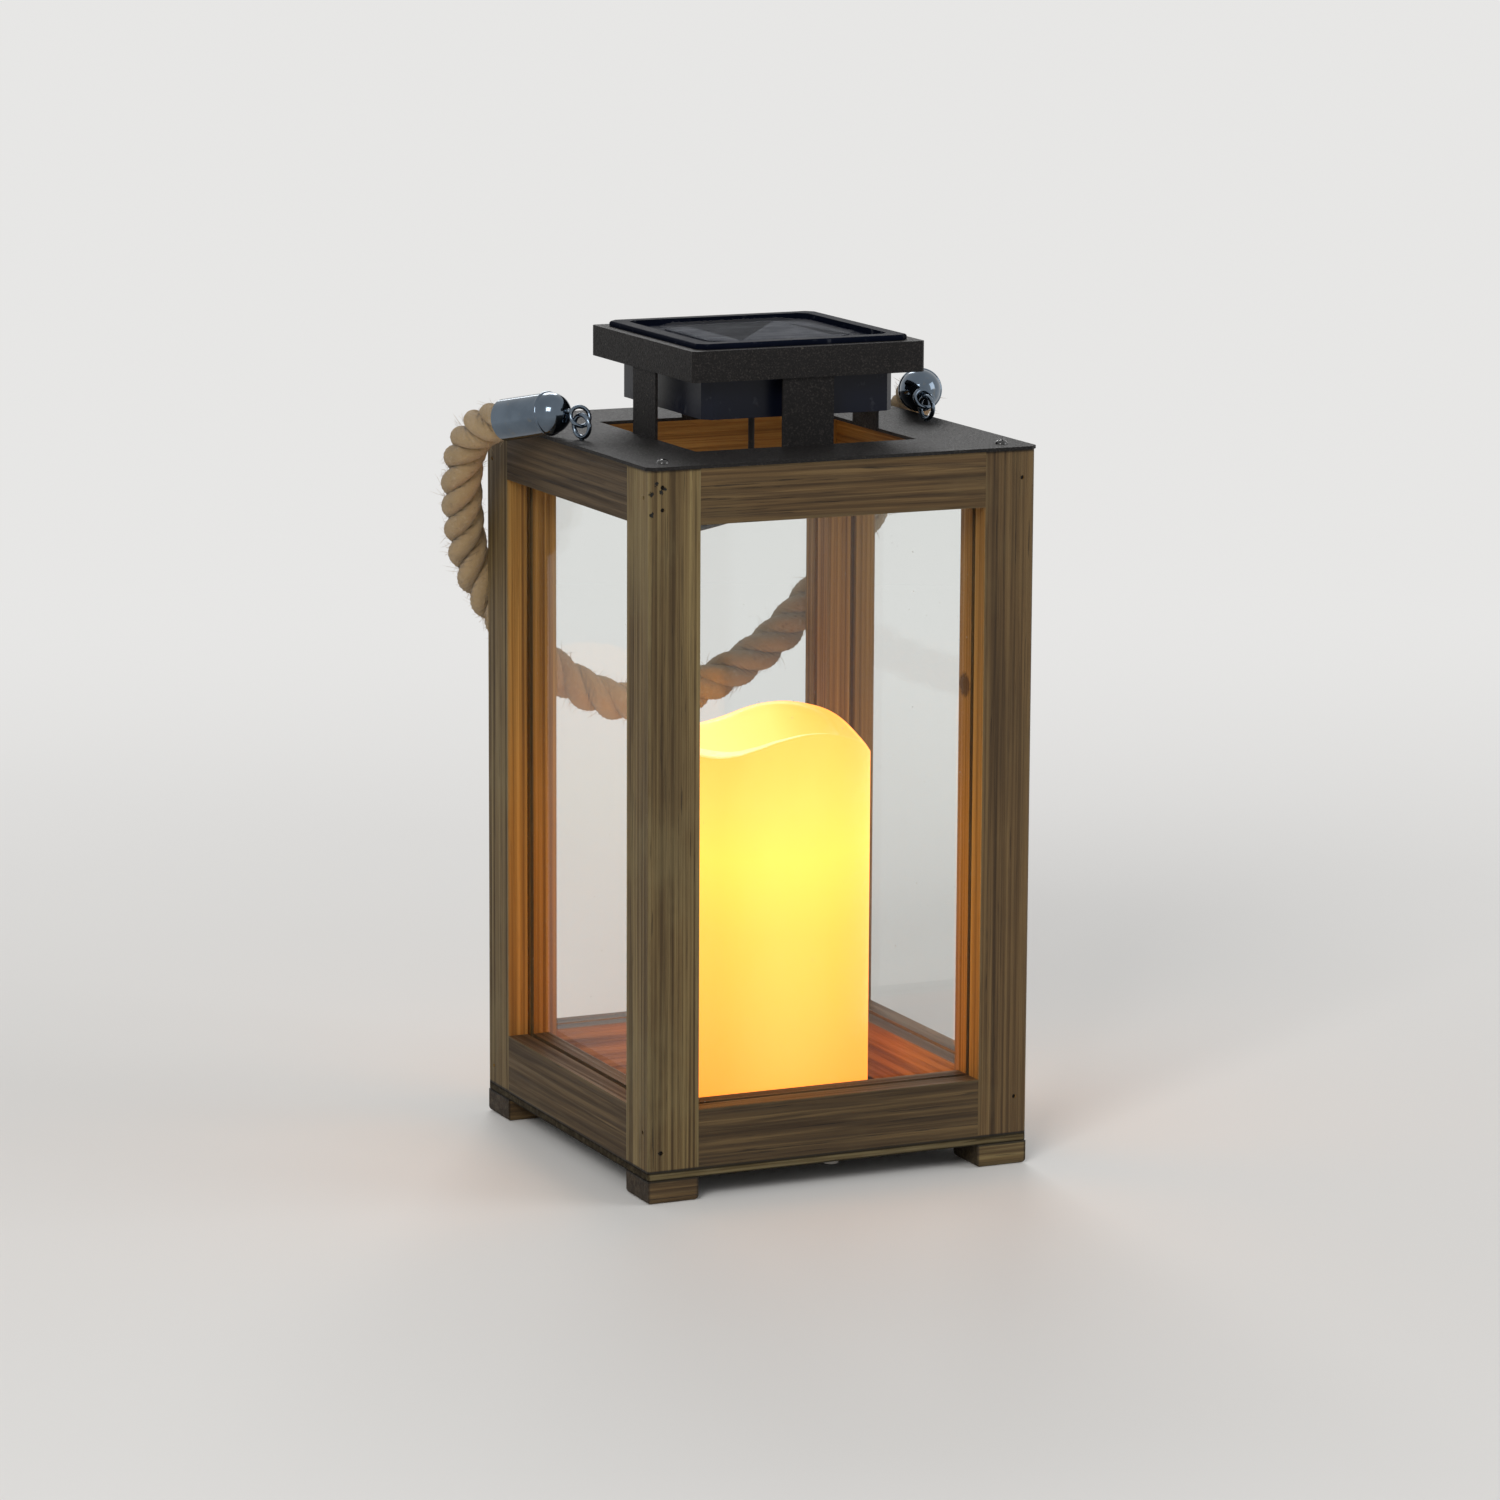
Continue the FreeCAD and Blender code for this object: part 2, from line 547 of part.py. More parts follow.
def screw_eye(side, sign):
    """A bent wire ring over the plate on a shank screwed down into the rail."""
    name = "screw_eye_" + side
    ring = doc.addObject("Part::Torus", name + "_ring")
    ring.setExpression("Radius1", "Sizes.eye_radius")
    ring.setExpression("Radius2", "Sizes.eye_wire_radius")
    turn = FreeCAD.Rotation(Z_AXIS, size("eye_turn_" + side))
    x = "%d * Levels.eye_line" % sign
    place(ring, x, "0", "Levels.eye_height", turn.multiply(FreeCAD.Rotation(Y_AXIS, 90)))
    bottom = "Levels.frame_top - Sizes.eye_shank"
    height = "Levels.eye_height - Sizes.eye_radius - (%s)" % bottom
    shank = cylinder(name + "_shank", "Sizes.eye_wire_radius", height, x, "0", bottom)
    keep(fuse(name, [ring, shank]), name)


def metal_top():
    top_plate()
    cap_frame()
    plate_screws()
    screw_eye("left", -1)
    screw_eye("right", 1)


# ---------------------------------------------------------------- solar unit
BOARD_BOSSES = [(sx, sy) for sx in (-1, 1) for sy in (-1, 1)]


def board_spot(sx, sy):
    x = "%d * (Sizes.board_length / 2 - Sizes.boss_inset)" % sx
    y = "-Sizes.board_offset + %d * (Sizes.board_width / 2 - Sizes.boss_inset)" % sy
    return (x, y)


def solar_housing():
    """The plastic tub: screw bosses in the corners, a battery bay, board posts, and floor openings."""
    body = new_body("solar_housing", "Levels.housing_bottom")
    height = "Levels.housing_top - Levels.housing_bottom"
    outline = sketch_on(body, "housing_outline", "XY_Plane")
    polygon(outline, cut_square("Sizes.housing_width / 2", "Sizes.housing_corner"))
    pad(body, outline, height)
    hollow = sketch_on(body, "housing_hollow", "XY_Plane", height)
    polygon(hollow, cut_square("Sizes.housing_width / 2 - Sizes.housing_wall", "Sizes.housing_corner"))
    pocket(body, hollow, height + " - Sizes.housing_floor")
    corners = [turned(q, "-Levels.boss_line", "-Levels.boss_line") for q in QUARTERS]
    bosses = sketch_on(body, "housing_bosses", "XY_Plane")
    circles(bosses, corners, "Sizes.lid_boss_radius")
    pad(body, bosses, height)
    wall = sketch_on(body, "battery_bay_wall", "XY_Plane")
    half_x = "Levels.bay_half_length + Sizes.bay_wall"
    half_y = "(Levels.bay_half_width + Sizes.bay_wall)"
    line = "Sizes.battery_offset"
    polygon(wall, rectangle("-(%s)" % half_x, half_x, line + " - " + half_y, line + " + " + half_y))
    pad(body, wall, "Sizes.cover_thick + 2 * Sizes.battery_radius + Sizes.bay_wall")
    bay = sketch_on(body, "battery_bay", "XY_Plane")
    span_y = "Levels.bay_half_width"
    polygon(bay, rectangle("-Levels.bay_half_length", "Levels.bay_half_length", line + " - " + span_y, line + " + " + span_y))
    pocket(body, bay, "Sizes.cover_thick + 2 * Sizes.battery_radius + 2 * Sizes.bay_wall", upward=True)
    seat = sketch_on(body, "cover_seat", "XY_Plane")
    seat_x = "Levels.bay_half_length + Sizes.cover_margin_x"
    seat_y = "(Levels.bay_half_width + Sizes.cover_margin_y)"
    polygon(seat, rectangle("-(%s)" % seat_x, seat_x, line + " - " + seat_y, line + " + " + seat_y))
    pocket(body, seat, "Sizes.cover_thick", upward=True)
    posts = sketch_on(body, "board_posts", "XY_Plane")
    circles(posts, [board_spot(sx, sy) for sx, sy in BOARD_BOSSES], "Sizes.boss_radius")
    pad(body, posts, "Sizes.housing_floor + Sizes.board_height")
    pilots = sketch_on(body, "board_pilots", "XY_Plane", "Sizes.housing_floor + Sizes.board_height")
    circles(pilots, [board_spot(sx, sy) for sx, sy in BOARD_BOSSES], "Sizes.board_screw_radius + Sizes.thread_gap")
    pocket(body, pilots, "Sizes.board_screw_length")
    bores = sketch_on(body, "housing_bores", "XY_Plane")
    circles(bores, corners, "Sizes.lid_screw_radius + Sizes.screw_clearance")
    pocket(body, bores)
    heads = sketch_on(body, "housing_counterbores", "XY_Plane")
    circles(heads, corners, "Sizes.lid_screw_head_radius + Sizes.screw_clearance")
    pocket(body, heads, "Sizes.lid_screw_head_height + 0.4", upward=True)
    openings = sketch_on(body, "floor_openings", "XY_Plane")
    circles(openings, [("-Sizes.gland_offset", "0")], "Sizes.gland_neck_radius + Sizes.lead_gap")
    slot_x = "((Sizes.knob_length + Sizes.switch_travel) / 2 + Sizes.slide_gap)"
    slot_y = "(Sizes.knob_width / 2 + Sizes.slide_gap)"
    middle = "Sizes.switch_offset"
    polygon(openings, rectangle(middle + " - " + slot_x, middle + " + " + slot_x, "-" + slot_y, slot_y))
    pocket(body, openings, "Sizes.housing_floor", upward=True)
    cover_holes = sketch_on(body, "cover_screw_holes", "XY_Plane")
    circles(cover_holes, cover_screw_spots(), "Sizes.board_screw_radius + Sizes.thread_gap")
    pocket(body, cover_holes, "Sizes.housing_floor", upward=True)
    return keep(body, "solar_housing")


def cover_screw_spots():
    reach = "(Levels.bay_half_length + Sizes.cover_margin_x / 2 + Sizes.bay_wall / 2)"
    return [("-" + reach, "Sizes.battery_offset"), (reach, "Sizes.battery_offset")]


def battery_cover():
    """The flush door under the battery, held by a screw at each end."""
    body = new_body("battery_cover", "Levels.housing_bottom")
    outline = sketch_on(body, "battery_cover_outline", "XY_Plane")
    half_x = "Levels.bay_half_length + Sizes.cover_margin_x - Sizes.cover_gap"
    half_y = "(Levels.bay_half_width + Sizes.cover_margin_y - Sizes.cover_gap)"
    line = "Sizes.battery_offset"
    polygon(outline, rectangle("-(%s)" % half_x, half_x, line + " - " + half_y, line + " + " + half_y))
    pad(body, outline, "Sizes.cover_thick")
    holes = sketch_on(body, "battery_cover_holes", "XY_Plane")
    circles(holes, cover_screw_spots(), "Sizes.board_screw_radius + Sizes.screw_clearance")
    pocket(body, holes)
    return keep(body, "battery_cover")


def solar_lid():
    """The lid: a flange that rests on the cap, a pan that drops inside it, and a recess on top."""
    body = new_body("solar_lid", "Levels.lid_bottom")
    flange = sketch_on(body, "lid_flange", "XY_Plane")
    polygon(flange, cut_square("Sizes.lid_width / 2", "Sizes.lid_corner"))
    rim = pad(body, flange, "Sizes.lid_thick")
    worn = round_edges(body, rim, Z_AXIS, "Sizes.lid_thick / 2")
    pan = sketch_on(body, "lid_pan", "XY_Plane", "-Sizes.lid_pan")
    polygon(pan, cut_square("Sizes.housing_width / 2", "Sizes.housing_corner"))
    pad(body, pan, "Sizes.lid_pan + Sizes.lid_thick / 4")
    recess = sketch_on(body, "lid_recess", "XY_Plane", "Sizes.lid_thick")
    polygon(recess, cut_square("Sizes.lid_width / 2 - Sizes.lid_rim", "Sizes.lid_corner"))
    pocket(body, recess, "Sizes.recess_depth")
    bites = sketch_on(body, "lid_screw_bites", "XY_Plane", "-Sizes.lid_pan")
    centres = [turned(q, "-Levels.boss_line", "-Levels.boss_line") for q in QUARTERS]
    circles(bites, centres, "Sizes.lid_screw_radius + Sizes.thread_gap")
    pocket(body, bites, "Sizes.lid_screw_bite + 0.1", upward=True)
    return keep(body, "solar_lid")


def housing_seal():
    """A flat gasket between the tub and the lid, with ears round the screws left open."""
    body = new_body("housing_seal", "Levels.housing_top")
    outer = "Sizes.housing_width / 2 - Sizes.seal_inset"
    inner = "Sizes.housing_width / 2 - Sizes.housing_wall + Sizes.seal_inset / 2"
    ring = sketch_on(body, "housing_seal_ring", "XY_Plane")
    polygon(ring, cut_square(outer, "Sizes.housing_corner"))
    polygon(ring, cut_square(inner, "Sizes.housing_corner"))
    pad(body, ring, "Sizes.seal_thick")
    return keep(body, "housing_seal")


def plate_piece(label, half, corner, thick, base):
    """A thin square sheet with cut corners."""
    body = new_body(label, base)
    outline = sketch_on(body, label + "_outline", "XY_Plane")
    polygon(outline, cut_square(half, corner))
    pad(body, outline, thick)
    return keep(body, label)


def screws_up(label, centres, head_radius, head_height, radius, length, seat):
    """Small screws driven upwards with their heads under the seat."""
    made = []
    for x, y in centres:
        name = "%s_%d" % (label, len(made) + 1)
        head = cylinder(name + "_head", head_radius, head_height, x, y, "%s - (%s)" % (seat, head_height))
        shank = cylinder(name + "_shank", radius, length, x, y, seat)
        made.append(fuse(name, [head, shank]))
    group(label, made)


def battery_parts():
    """The rechargeable cell lying along X, and a contact plate with a stub at each end."""
    lie = FreeCAD.Rotation(Y_AXIS, 90)
    line = "Sizes.battery_offset"
    half = "Sizes.battery_length / 2"
    can = cylinder("battery_can", "Sizes.battery_radius", "Sizes.battery_length - 1.5", "-" + half, line,
                   "Levels.battery_line", lie)
    nub = cylinder("battery_nub", "2.75", "1.5", half + " - 1.5", line, "Levels.battery_line", lie)
    keep(fuse("battery_cell", [can, nub]), "battery_cell")
    for name, sign in (("contact_minus", -1), ("contact_plus", 1)):
        edge = "%d * Levels.bay_half_length" % sign
        corner = edge if sign < 0 else edge + " - Sizes.contact_thick"
        plate = box(name + "_plate", "Sizes.contact_thick", "Sizes.contact_width", "Sizes.contact_height", corner,
                    line + " - Sizes.contact_width / 2", "Levels.battery_line - Sizes.contact_height / 2")
        reach = "Sizes.bay_end_gap - Sizes.contact_thick / 2 - Sizes.contact_play"
        start = edge + " + Sizes.contact_thick / 2" if sign < 0 else half + " + Sizes.contact_play"
        stub = cylinder(name + "_stub", "Sizes.contact_stub_radius", reach, start, line, "Levels.battery_line", lie)
        keep(fuse(name, [plate, stub]), name)


def board_parts():
    """The circuit board with its components and the screws that hold it on the posts."""
    body = new_body("circuit_board", "Levels.board_bottom")
    outline = sketch_on(body, "circuit_board_outline", "XY_Plane")
    half_x = "Sizes.board_length / 2"
    half_y = "Sizes.board_width / 2"
    line = "-Sizes.board_offset"
    polygon(outline, rectangle("-" + half_x, half_x, line + " - " + half_y, line + " + " + half_y))
    pad(body, outline, "Sizes.board_thick")
    holes = sketch_on(body, "circuit_board_holes", "XY_Plane")
    circles(holes, [board_spot(sx, sy) for sx, sy in BOARD_BOSSES], "Sizes.board_screw_radius + Sizes.screw_clearance")
    pocket(body, holes)
    keep(body, "circuit_board")
    top = "Levels.board_bottom + Sizes.board_thick"
    chip = centred_box("driver_chip", "6", "5", "1.6", "0", line, top)
    coil = cylinder("charge_coil", "2.6", "4", "-9", line, top)
    capacitor = cylinder("capacitor", "2", "5", "9", line, top)
    group("circuit_parts", [chip, coil, capacitor])
    made = []
    for sx, sy in BOARD_BOSSES:
        x, y = board_spot(sx, sy)
        name = "board_screw_%d" % (len(made) + 1)
        head = cylinder(name + "_head", "Sizes.board_screw_head", "1.2", x, y, top)
        shank = cylinder(name + "_shank", "Sizes.board_screw_radius", "Sizes.board_screw_length", x, y,
                         top + " - Sizes.board_screw_length")
        made.append(fuse(name, [head, shank]))
    group("board_screws", made)


def switch_parts():
    """A slide switch standing on the housing floor, its knob reaching out below."""
    x = "Sizes.switch_offset"
    floor = "Levels.floor_top"
    block = centred_box("switch_block", "Sizes.switch_length", "Sizes.switch_width", "Sizes.switch_height", x, "0", floor)
    room = "Sizes.slide_head_length + Sizes.switch_travel + 2 * Sizes.slide_gap"
    cavity = centred_box("switch_cavity", room, "Sizes.slide_head_width + 2 * Sizes.slide_gap",
                         "Sizes.slide_head_height + 2 * Sizes.slide_gap", x, "0", floor)
    keep(cut("switch_body", block, [cavity]), "switch_body")
    rest = "(Sizes.switch_offset - Sizes.switch_travel / 2)"
    knob = centred_box("slider_knob", "Sizes.knob_length", "Sizes.knob_width",
                       "Sizes.knob_proud + Sizes.housing_floor + Sizes.slide_gap", rest, "0",
                       "Levels.housing_bottom - Sizes.knob_proud")
    head = centred_box("slider_head", "Sizes.slide_head_length", "Sizes.slide_head_width", "Sizes.slide_head_height",
                       rest, "0", floor + " + Sizes.slide_gap")
    keep(fuse("switch_slider", [knob, head]), "switch_slider")


def cable_gland():
    """A rubber gland through the housing floor, tapering down the lead."""
    x = "-Sizes.gland_offset"
    under = "Levels.housing_bottom - Sizes.gland_flange_thick"
    flange = cylinder("gland_flange", "Sizes.gland_flange_radius", "Sizes.gland_flange_thick", x, "0", under)
    neck = cylinder("gland_neck", "Sizes.gland_neck_radius", "Sizes.housing_floor + Sizes.gland_flange_thick",
                    x, "0", under)
    collar = cylinder("gland_collar", "Sizes.gland_flange_radius", "Sizes.gland_flange_thick", x, "0",
                      "Levels.floor_top")
    taper = doc.addObject("Part::Cone", "gland_taper")
    taper.setExpression("Radius1", "Sizes.lead_radius + 0.6")
    taper.setExpression("Radius2", "Sizes.gland_neck_radius")
    taper.setExpression("Height", "Sizes.gland_taper")
    place(taper, x, "0", under + " - Sizes.gland_taper")
    bore = cylinder("gland_bore", "Sizes.lead_radius + Sizes.lead_gap", "Sizes.housing_height", x, "0",
                    under + " - Sizes.gland_taper - 1")
    keep(cut("cable_gland", fuse("gland_solid", [flange, neck, collar, taper]), [bore]), "cable_gland")


def solar_unit():
    solar_housing()
    battery_cover()
    solar_lid()
    housing_seal()
    recess = "Levels.lid_bottom + Sizes.lid_thick - Sizes.recess_depth"
    plate_piece("solar_cell", "Sizes.cell_width / 2", "Sizes.cell_corner", "Sizes.cell_thick", recess)
    plate_piece("cell_window", "Sizes.cell_width / 2 + Sizes.window_margin", "Sizes.cell_corner",
                "Sizes.window_thick", recess + " + Sizes.cell_thick")
    corners = [turned(q, "-Levels.boss_line", "-Levels.boss_line") for q in QUARTERS]
    screws_up("lid_screws", corners, "Sizes.lid_screw_head_radius", "Sizes.lid_screw_head_height",
              "Sizes.lid_screw_radius", "Levels.pan_bottom + Sizes.lid_screw_bite - Levels.housing_bottom"
              " - Sizes.lid_screw_head_height - 0.4", "(Levels.housing_bottom + Sizes.lid_screw_head_height + 0.4)")
    screws_up("cover_screws", cover_screw_spots(), "Sizes.board_screw_head", "1",
              "Sizes.board_screw_radius", "Sizes.housing_floor", "Levels.housing_bottom")
    battery_parts()
    board_parts()
    switch_parts()
    cable_gland()


# ---------------------------------------------------------------- tubes along a route
def tube_path(points):
    """Straight runs joined by tangent arcs, each as large as its two runs allow."""
    edges = []
    start = points[0]
    radii = []
    for before, corner, after in zip(points, points[1:], points[2:]):
        run_in = corner - before
        run_out = after - corner
        turn = run_in.getAngle(run_out)
        reach = 0.45 * min(run_in.Length, run_out.Length)
        radii.append(reach / math.tan(turn / 2))
        along = FreeCAD.Vector(run_in).normalize()
        onward = FreeCAD.Vector(run_out).normalize()
        entry = corner - along * reach
        leave = corner + onward * reach
        inward = (onward - along).normalize()
        sag = radii[-1] * (1 / math.cos(turn / 2) - 1)
        edges.append(Part.LineSegment(start, entry).toShape())
        edges.append(Part.Arc(entry, corner + inward * sag, leave).toShape())
        start = leave
    edges.append(Part.LineSegment(start, points[-1]).toShape())
    return Part.Wire(edges), radii


def tube(label, points, radius):
    """A round tube along a route, checked against its section times its length."""
    path, radii = tube_path(points)
    direction = (points[1] - points[0]).normalize()
    ring = Part.Wire(Part.makeCircle(radius, points[0], direction))
    solid = path.makePipeShell([ring], True, False)
    length = path.Length
    expected = math.pi * radius ** 2 * length
    if abs(solid.Volume / expected - 1) > 0.01:
        raise ValueError("%s: volume %.1f instead of %.1f" % (label, solid.Volume, expected))
    if radii:
        text = " ".join("%.1f" % value for value in radii)
        print("%s: length %.1f, diameter %.1f, radii %s" % (label, length, 2 * radius, text))
    feature = doc.addObject("Part::Feature", label)
    feature.Shape = solid
    feature.Placement = FreeCAD.Placement()
    return keep(feature, label)


# ---------------------------------------------------------------- lead
def lead_corner():
    """Where the lead runs down the inside of the front left post."""
    standing = size("clip_wall") / 4 + size("lead_radius")
    x = -level("inner_half") + standing
    return (x, -level("inner_half") - size("lead_radius"))


def lead_entry():
    """The height at which the lead goes into the candle."""
    return level("frame_bottom") + size("candle_base_thick") + 2 * size("lead_radius") + 1


def lead_route():
    """Down out of the solar unit, across under the top rail, down the post and in to the candle."""
    x, y = lead_corner()
    top = level("lead_break")
    low = top - 16.5
    floor = lead_entry()
    inside = -(size("stem_radius") - size("stem_wall") / 2) / math.sqrt(2)
    start = -size("gland_offset")
    return [
        vector(start, 0, top), vector(start, 0, top - 10), vector(start - 8, -9, low),
        vector(x + 24, y + 25.5, low + 1.5), vector(x + 7, y + 7, low + 3), vector(x, y, low - 8),
        vector(x, y, floor + 12.5), vector(x + 4, y + 4.6, floor + 1.5), vector(-38.5, -38.5, floor),
        vector(inside, inside, floor),
    ]


def lead():
    start = -size("gland_offset")
    top = level("floor_top") + size("gland_flange_thick") + 2
    tube("lead_upper", [vector(start, 0, level("lead_break")), vector(start, 0, top)], size("lead_radius"))
    tube("lead_lower", lead_route(), size("lead_radius"))


CLIP_HEIGHTS = (45.0, 125.0, 200.0)


def lead_clips():
    """Saddle clips nailed to the post, each holding the lead in a round channel."""
    x, y = lead_corner()
    face = -level("inner_half")
    half = size("clip_height") / 2
    radius = size("lead_radius")
    depth = x + radius + size("clip_wall") - face
    front = y + radius + size("clip_wall")
    clips = []
    nails = []
    for height in CLIP_HEIGHTS:
        width = size("clip_reach")
        block = Part.makeBox(depth, width, 2 * half, vector(face, front - width, height - half))
        channel = Part.makeCylinder(radius + size("lead_gap"), 4 * half, vector(x, y, height - 2 * half), Z_AXIS)
        spot = vector(face + depth, front - width + 2, height)
        hole = Part.makeCylinder(size("clip_nail_radius") + size("lead_gap"), 2 * depth, spot + X_AXIS, -X_AXIS)
        clips.append(block.cut(channel).cut(hole))
        shank = Part.makeCylinder(size("clip_nail_radius"), depth, spot, -X_AXIS)
        head = Part.makeCylinder(size("clip_nail_head"), 0.6, spot, X_AXIS)
        nails.append(shank.fuse(head))
    for label, solids in (("lead_clips", clips), ("clip_nails", nails)):
        feature = doc.addObject("Part::Feature", label)
        feature.Shape = Part.Compound(solids)
        keep(feature, label)


# ---------------------------------------------------------------- candle
# The rim of the candle seen from the front: how far across it and how much below the rim height.
RIM_WAVE = ((-1.3, 1.0), (-1.0, 2.0), (-0.6, 4.5), (-0.1, 3.5), (0.3, 1.0), (0.6, 0.5), (0.85, 5.0),
            (1.0, 12.0), (1.3, 26.0))


def candle_shell():
    """The pillar: a hollow shell with a wavy top, a melted bowl and a lead hole near its foot."""
    radius = size("candle_radius")
    base = level("frame_bottom")
    rim = base + size("candle_rim")
    solid = Part.makeCylinder(radius, size("candle_rim") + 5, vector(0, 0, base))
    wave = Part.BSplineCurve()
    wave.interpolate([vector(radius * across, -2 * radius, rim - drop) for across, drop in RIM_WAVE])
    first = wave.StartPoint
    last = wave.EndPoint
    lift = vector(0, 0, 60)
    sides = [Part.makeLine(last, last + lift), Part.makeLine(last + lift, first + lift), Part.makeLine(first + lift, first)]
    waste = Part.Face(Part.Wire([wave.toShape()] + sides)).extrude(vector(0, 4 * radius, 0))
    bowl_radius = (size("bowl_radius") ** 2 + size("bowl_depth") ** 2) / (2 * size("bowl_depth"))
    bowl_floor = rim - size("bowl_depth")
    bowl = Part.makeSphere(bowl_radius, vector(0, 0, bowl_floor + bowl_radius))
    cavity = Part.makeCylinder(radius - size("candle_wall"), bowl_floor - size("candle_roof") - base,
                               vector(0, 0, base))
    aim = vector(-1, -1, 0).normalize()
    hole = Part.makeCylinder(size("lead_radius") + 0.3, 20, vector(0, 0, lead_entry()) + aim * (radius - 10), aim)
    shell = solid.cut(waste).cut(bowl).cut(cavity).cut(hole)
    feature = doc.addObject("Part::Feature", "candle_shell")
    feature.Shape = shell
    keep(feature, "candle_shell")


def candle_base():
    """The disc inside the foot of the shell, two screw bosses and the hollow stem for the lamps."""
    body = new_body("candle_pedestal", "Levels.frame_bottom")
    disc = sketch_on(body, "candle_disc", "XY_Plane")
    circles(disc, [("0", "0")], "Sizes.candle_radius - Sizes.candle_wall - Sizes.candle_base_gap")
    pad(body, disc, "Sizes.candle_base_thick")
    stem = sketch_on(body, "candle_stem", "XY_Plane")
    circles(stem, [("0", "0")], "Sizes.stem_radius")
    pad(body, stem, "Sizes.candle_base_thick + Sizes.stem_height")
    spots = [("-Sizes.candle_screw_spread", "0"), ("Sizes.candle_screw_spread", "0")]
    bosses = sketch_on(body, "candle_bosses", "XY_Plane")
    circles(bosses, spots, "Sizes.candle_boss_radius")
    pad(body, bosses, "Sizes.candle_boss_height")
    bore = sketch_on(body, "candle_stem_bore", "XY_Plane")
    circles(bore, [("0", "0")], "Sizes.stem_radius - Sizes.stem_wall")
    pocket(body, bore)
    pilots = sketch_on(body, "candle_pilots", "XY_Plane")
    circles(pilots, spots, "Sizes.wood_screw_radius + Sizes.thread_gap")
    pocket(body, pilots, "Sizes.candle_boss_height - 1", upward=True)
    aim = FreeCAD.Rotation(Z_AXIS, vector(-1, -1, 0))
    mouth = cylinder("lead_hole", "Sizes.lead_radius + 0.1", "Sizes.stem_radius + 4", "0", "0",
                     "Levels.frame_bottom + Sizes.candle_base_thick + 2 * Sizes.lead_radius + 1", aim)
    return keep(cut("candle_base", body, [mouth]), "candle_base")


def candle():
    candle_shell()
    candle_base()
    top = "Levels.led_bottom"
    keep(cylinder("led_board", "Sizes.led_board_radius", "Sizes.led_board_thick", "0", "0", top), "led_board")
    lamps = []
    for sign in (-1, 1):
        x = "%d * Sizes.led_spread" % sign
        base = top + " + Sizes.led_board_thick"
        stem = cylinder("led_body_%d" % (sign + 2), "Sizes.led_radius", "Sizes.led_height - Sizes.led_radius", x, "0", base)
        lens = doc.addObject("Part::Sphere", "led_lens_%d" % (sign + 2))
        lens.setExpression("Radius", "Sizes.led_radius")
        place(lens, x, "0", base + " + Sizes.led_height - Sizes.led_radius")
        lamps.append(fuse("led_%d" % (sign + 2), [stem, lens]))
    group("led_lamps", lamps)
    made = []
    for sign in (-1, 1):
        x = "%d * Sizes.candle_screw_spread" % sign
        name = "candle_screw_%d" % (sign + 2)
        head = cylinder(name + "_head", "Sizes.wood_screw_head_radius", "Sizes.wood_screw_head_height", x, "0",
                        "Sizes.foot_height - Sizes.wood_screw_head_height")
        shank = cylinder(name + "_shank", "Sizes.wood_screw_radius", "Sizes.base_thick + Sizes.candle_boss_height - 2",
                         x, "0", "Sizes.foot_height")
        made.append(fuse(name, [head, shank]))
    group("candle_screws", made)


# ---------------------------------------------------------------- rope handle
# Each ferrule is placed from its eye by an offset outwards, back and up, and by where it points.
FERRULES = {
    "left": {"sign": -1, "offset": (8.0, 11.0, 3.6), "aim": (9.0, 20.0, -4.3)},
    "right": {"sign": 1, "offset": (3.8, 13.2, 4.8), "aim": (9.2, 20.0, -3.3)},
}


def ferrule_frame(side):
    """The rim centre of a ferrule and the unit vector from there to its mouth."""
    spec = FERRULES[side]
    sign = spec["sign"]
    out, back, up = spec["offset"]
    eye = vector(sign * level("eye_line"), 0, level("eye_height"))
    rim = eye + vector(sign * out, back, up)
    aim = vector(sign * spec["aim"][0], spec["aim"][1], spec["aim"][2]).normalize()
    return eye, rim, aim


def ferrule(side):
    """A cup of metal: the rope goes into its mouth, the link wire out of its dome."""
    eye, rim, aim = ferrule_frame(side)
    name = "ferrule_" + side
    dome = doc.addObject("Part::Ellipsoid", name + "_dome")
    dome.Angle1 = 0
    dome.setExpression("Radius1", "Sizes.dome_height")
    dome.setExpression("Radius2", "Sizes.ferrule_radius")
    dome.setExpression("Radius3", "Sizes.ferrule_radius")
    sleeve = cylinder(name + "_sleeve", "Sizes.ferrule_radius", "Sizes.ferrule_length", "0", "0", "-Sizes.ferrule_length")
    bead = doc.addObject("Part::Torus", name + "_bead")
    bead.setExpression("Radius1", "Sizes.ferrule_rim_radius - Sizes.ferrule_rim_width / 2")
    bead.setExpression("Radius2", "Sizes.ferrule_rim_width / 2")
    bore = cylinder(name + "_bore", "Sizes.rope_radius + Sizes.ferrule_gap", "Sizes.ferrule_bore_depth + 1",
                    "0", "0", "-Sizes.ferrule_length - 1")
    wire_hole = cylinder(name + "_wire_hole", "Sizes.link_wire_radius + Sizes.lead_gap",
                         "Sizes.ferrule_length + Sizes.dome_height", "0", "0", "-Sizes.ferrule_length")
    cup = cut(name, fuse(name + "_solid", [sleeve, bead, dome]), [bore, wire_hole])
    cup.Placement = FreeCAD.Placement(rim, FreeCAD.Rotation(Z_AXIS, -aim))
    keep(cup, name)


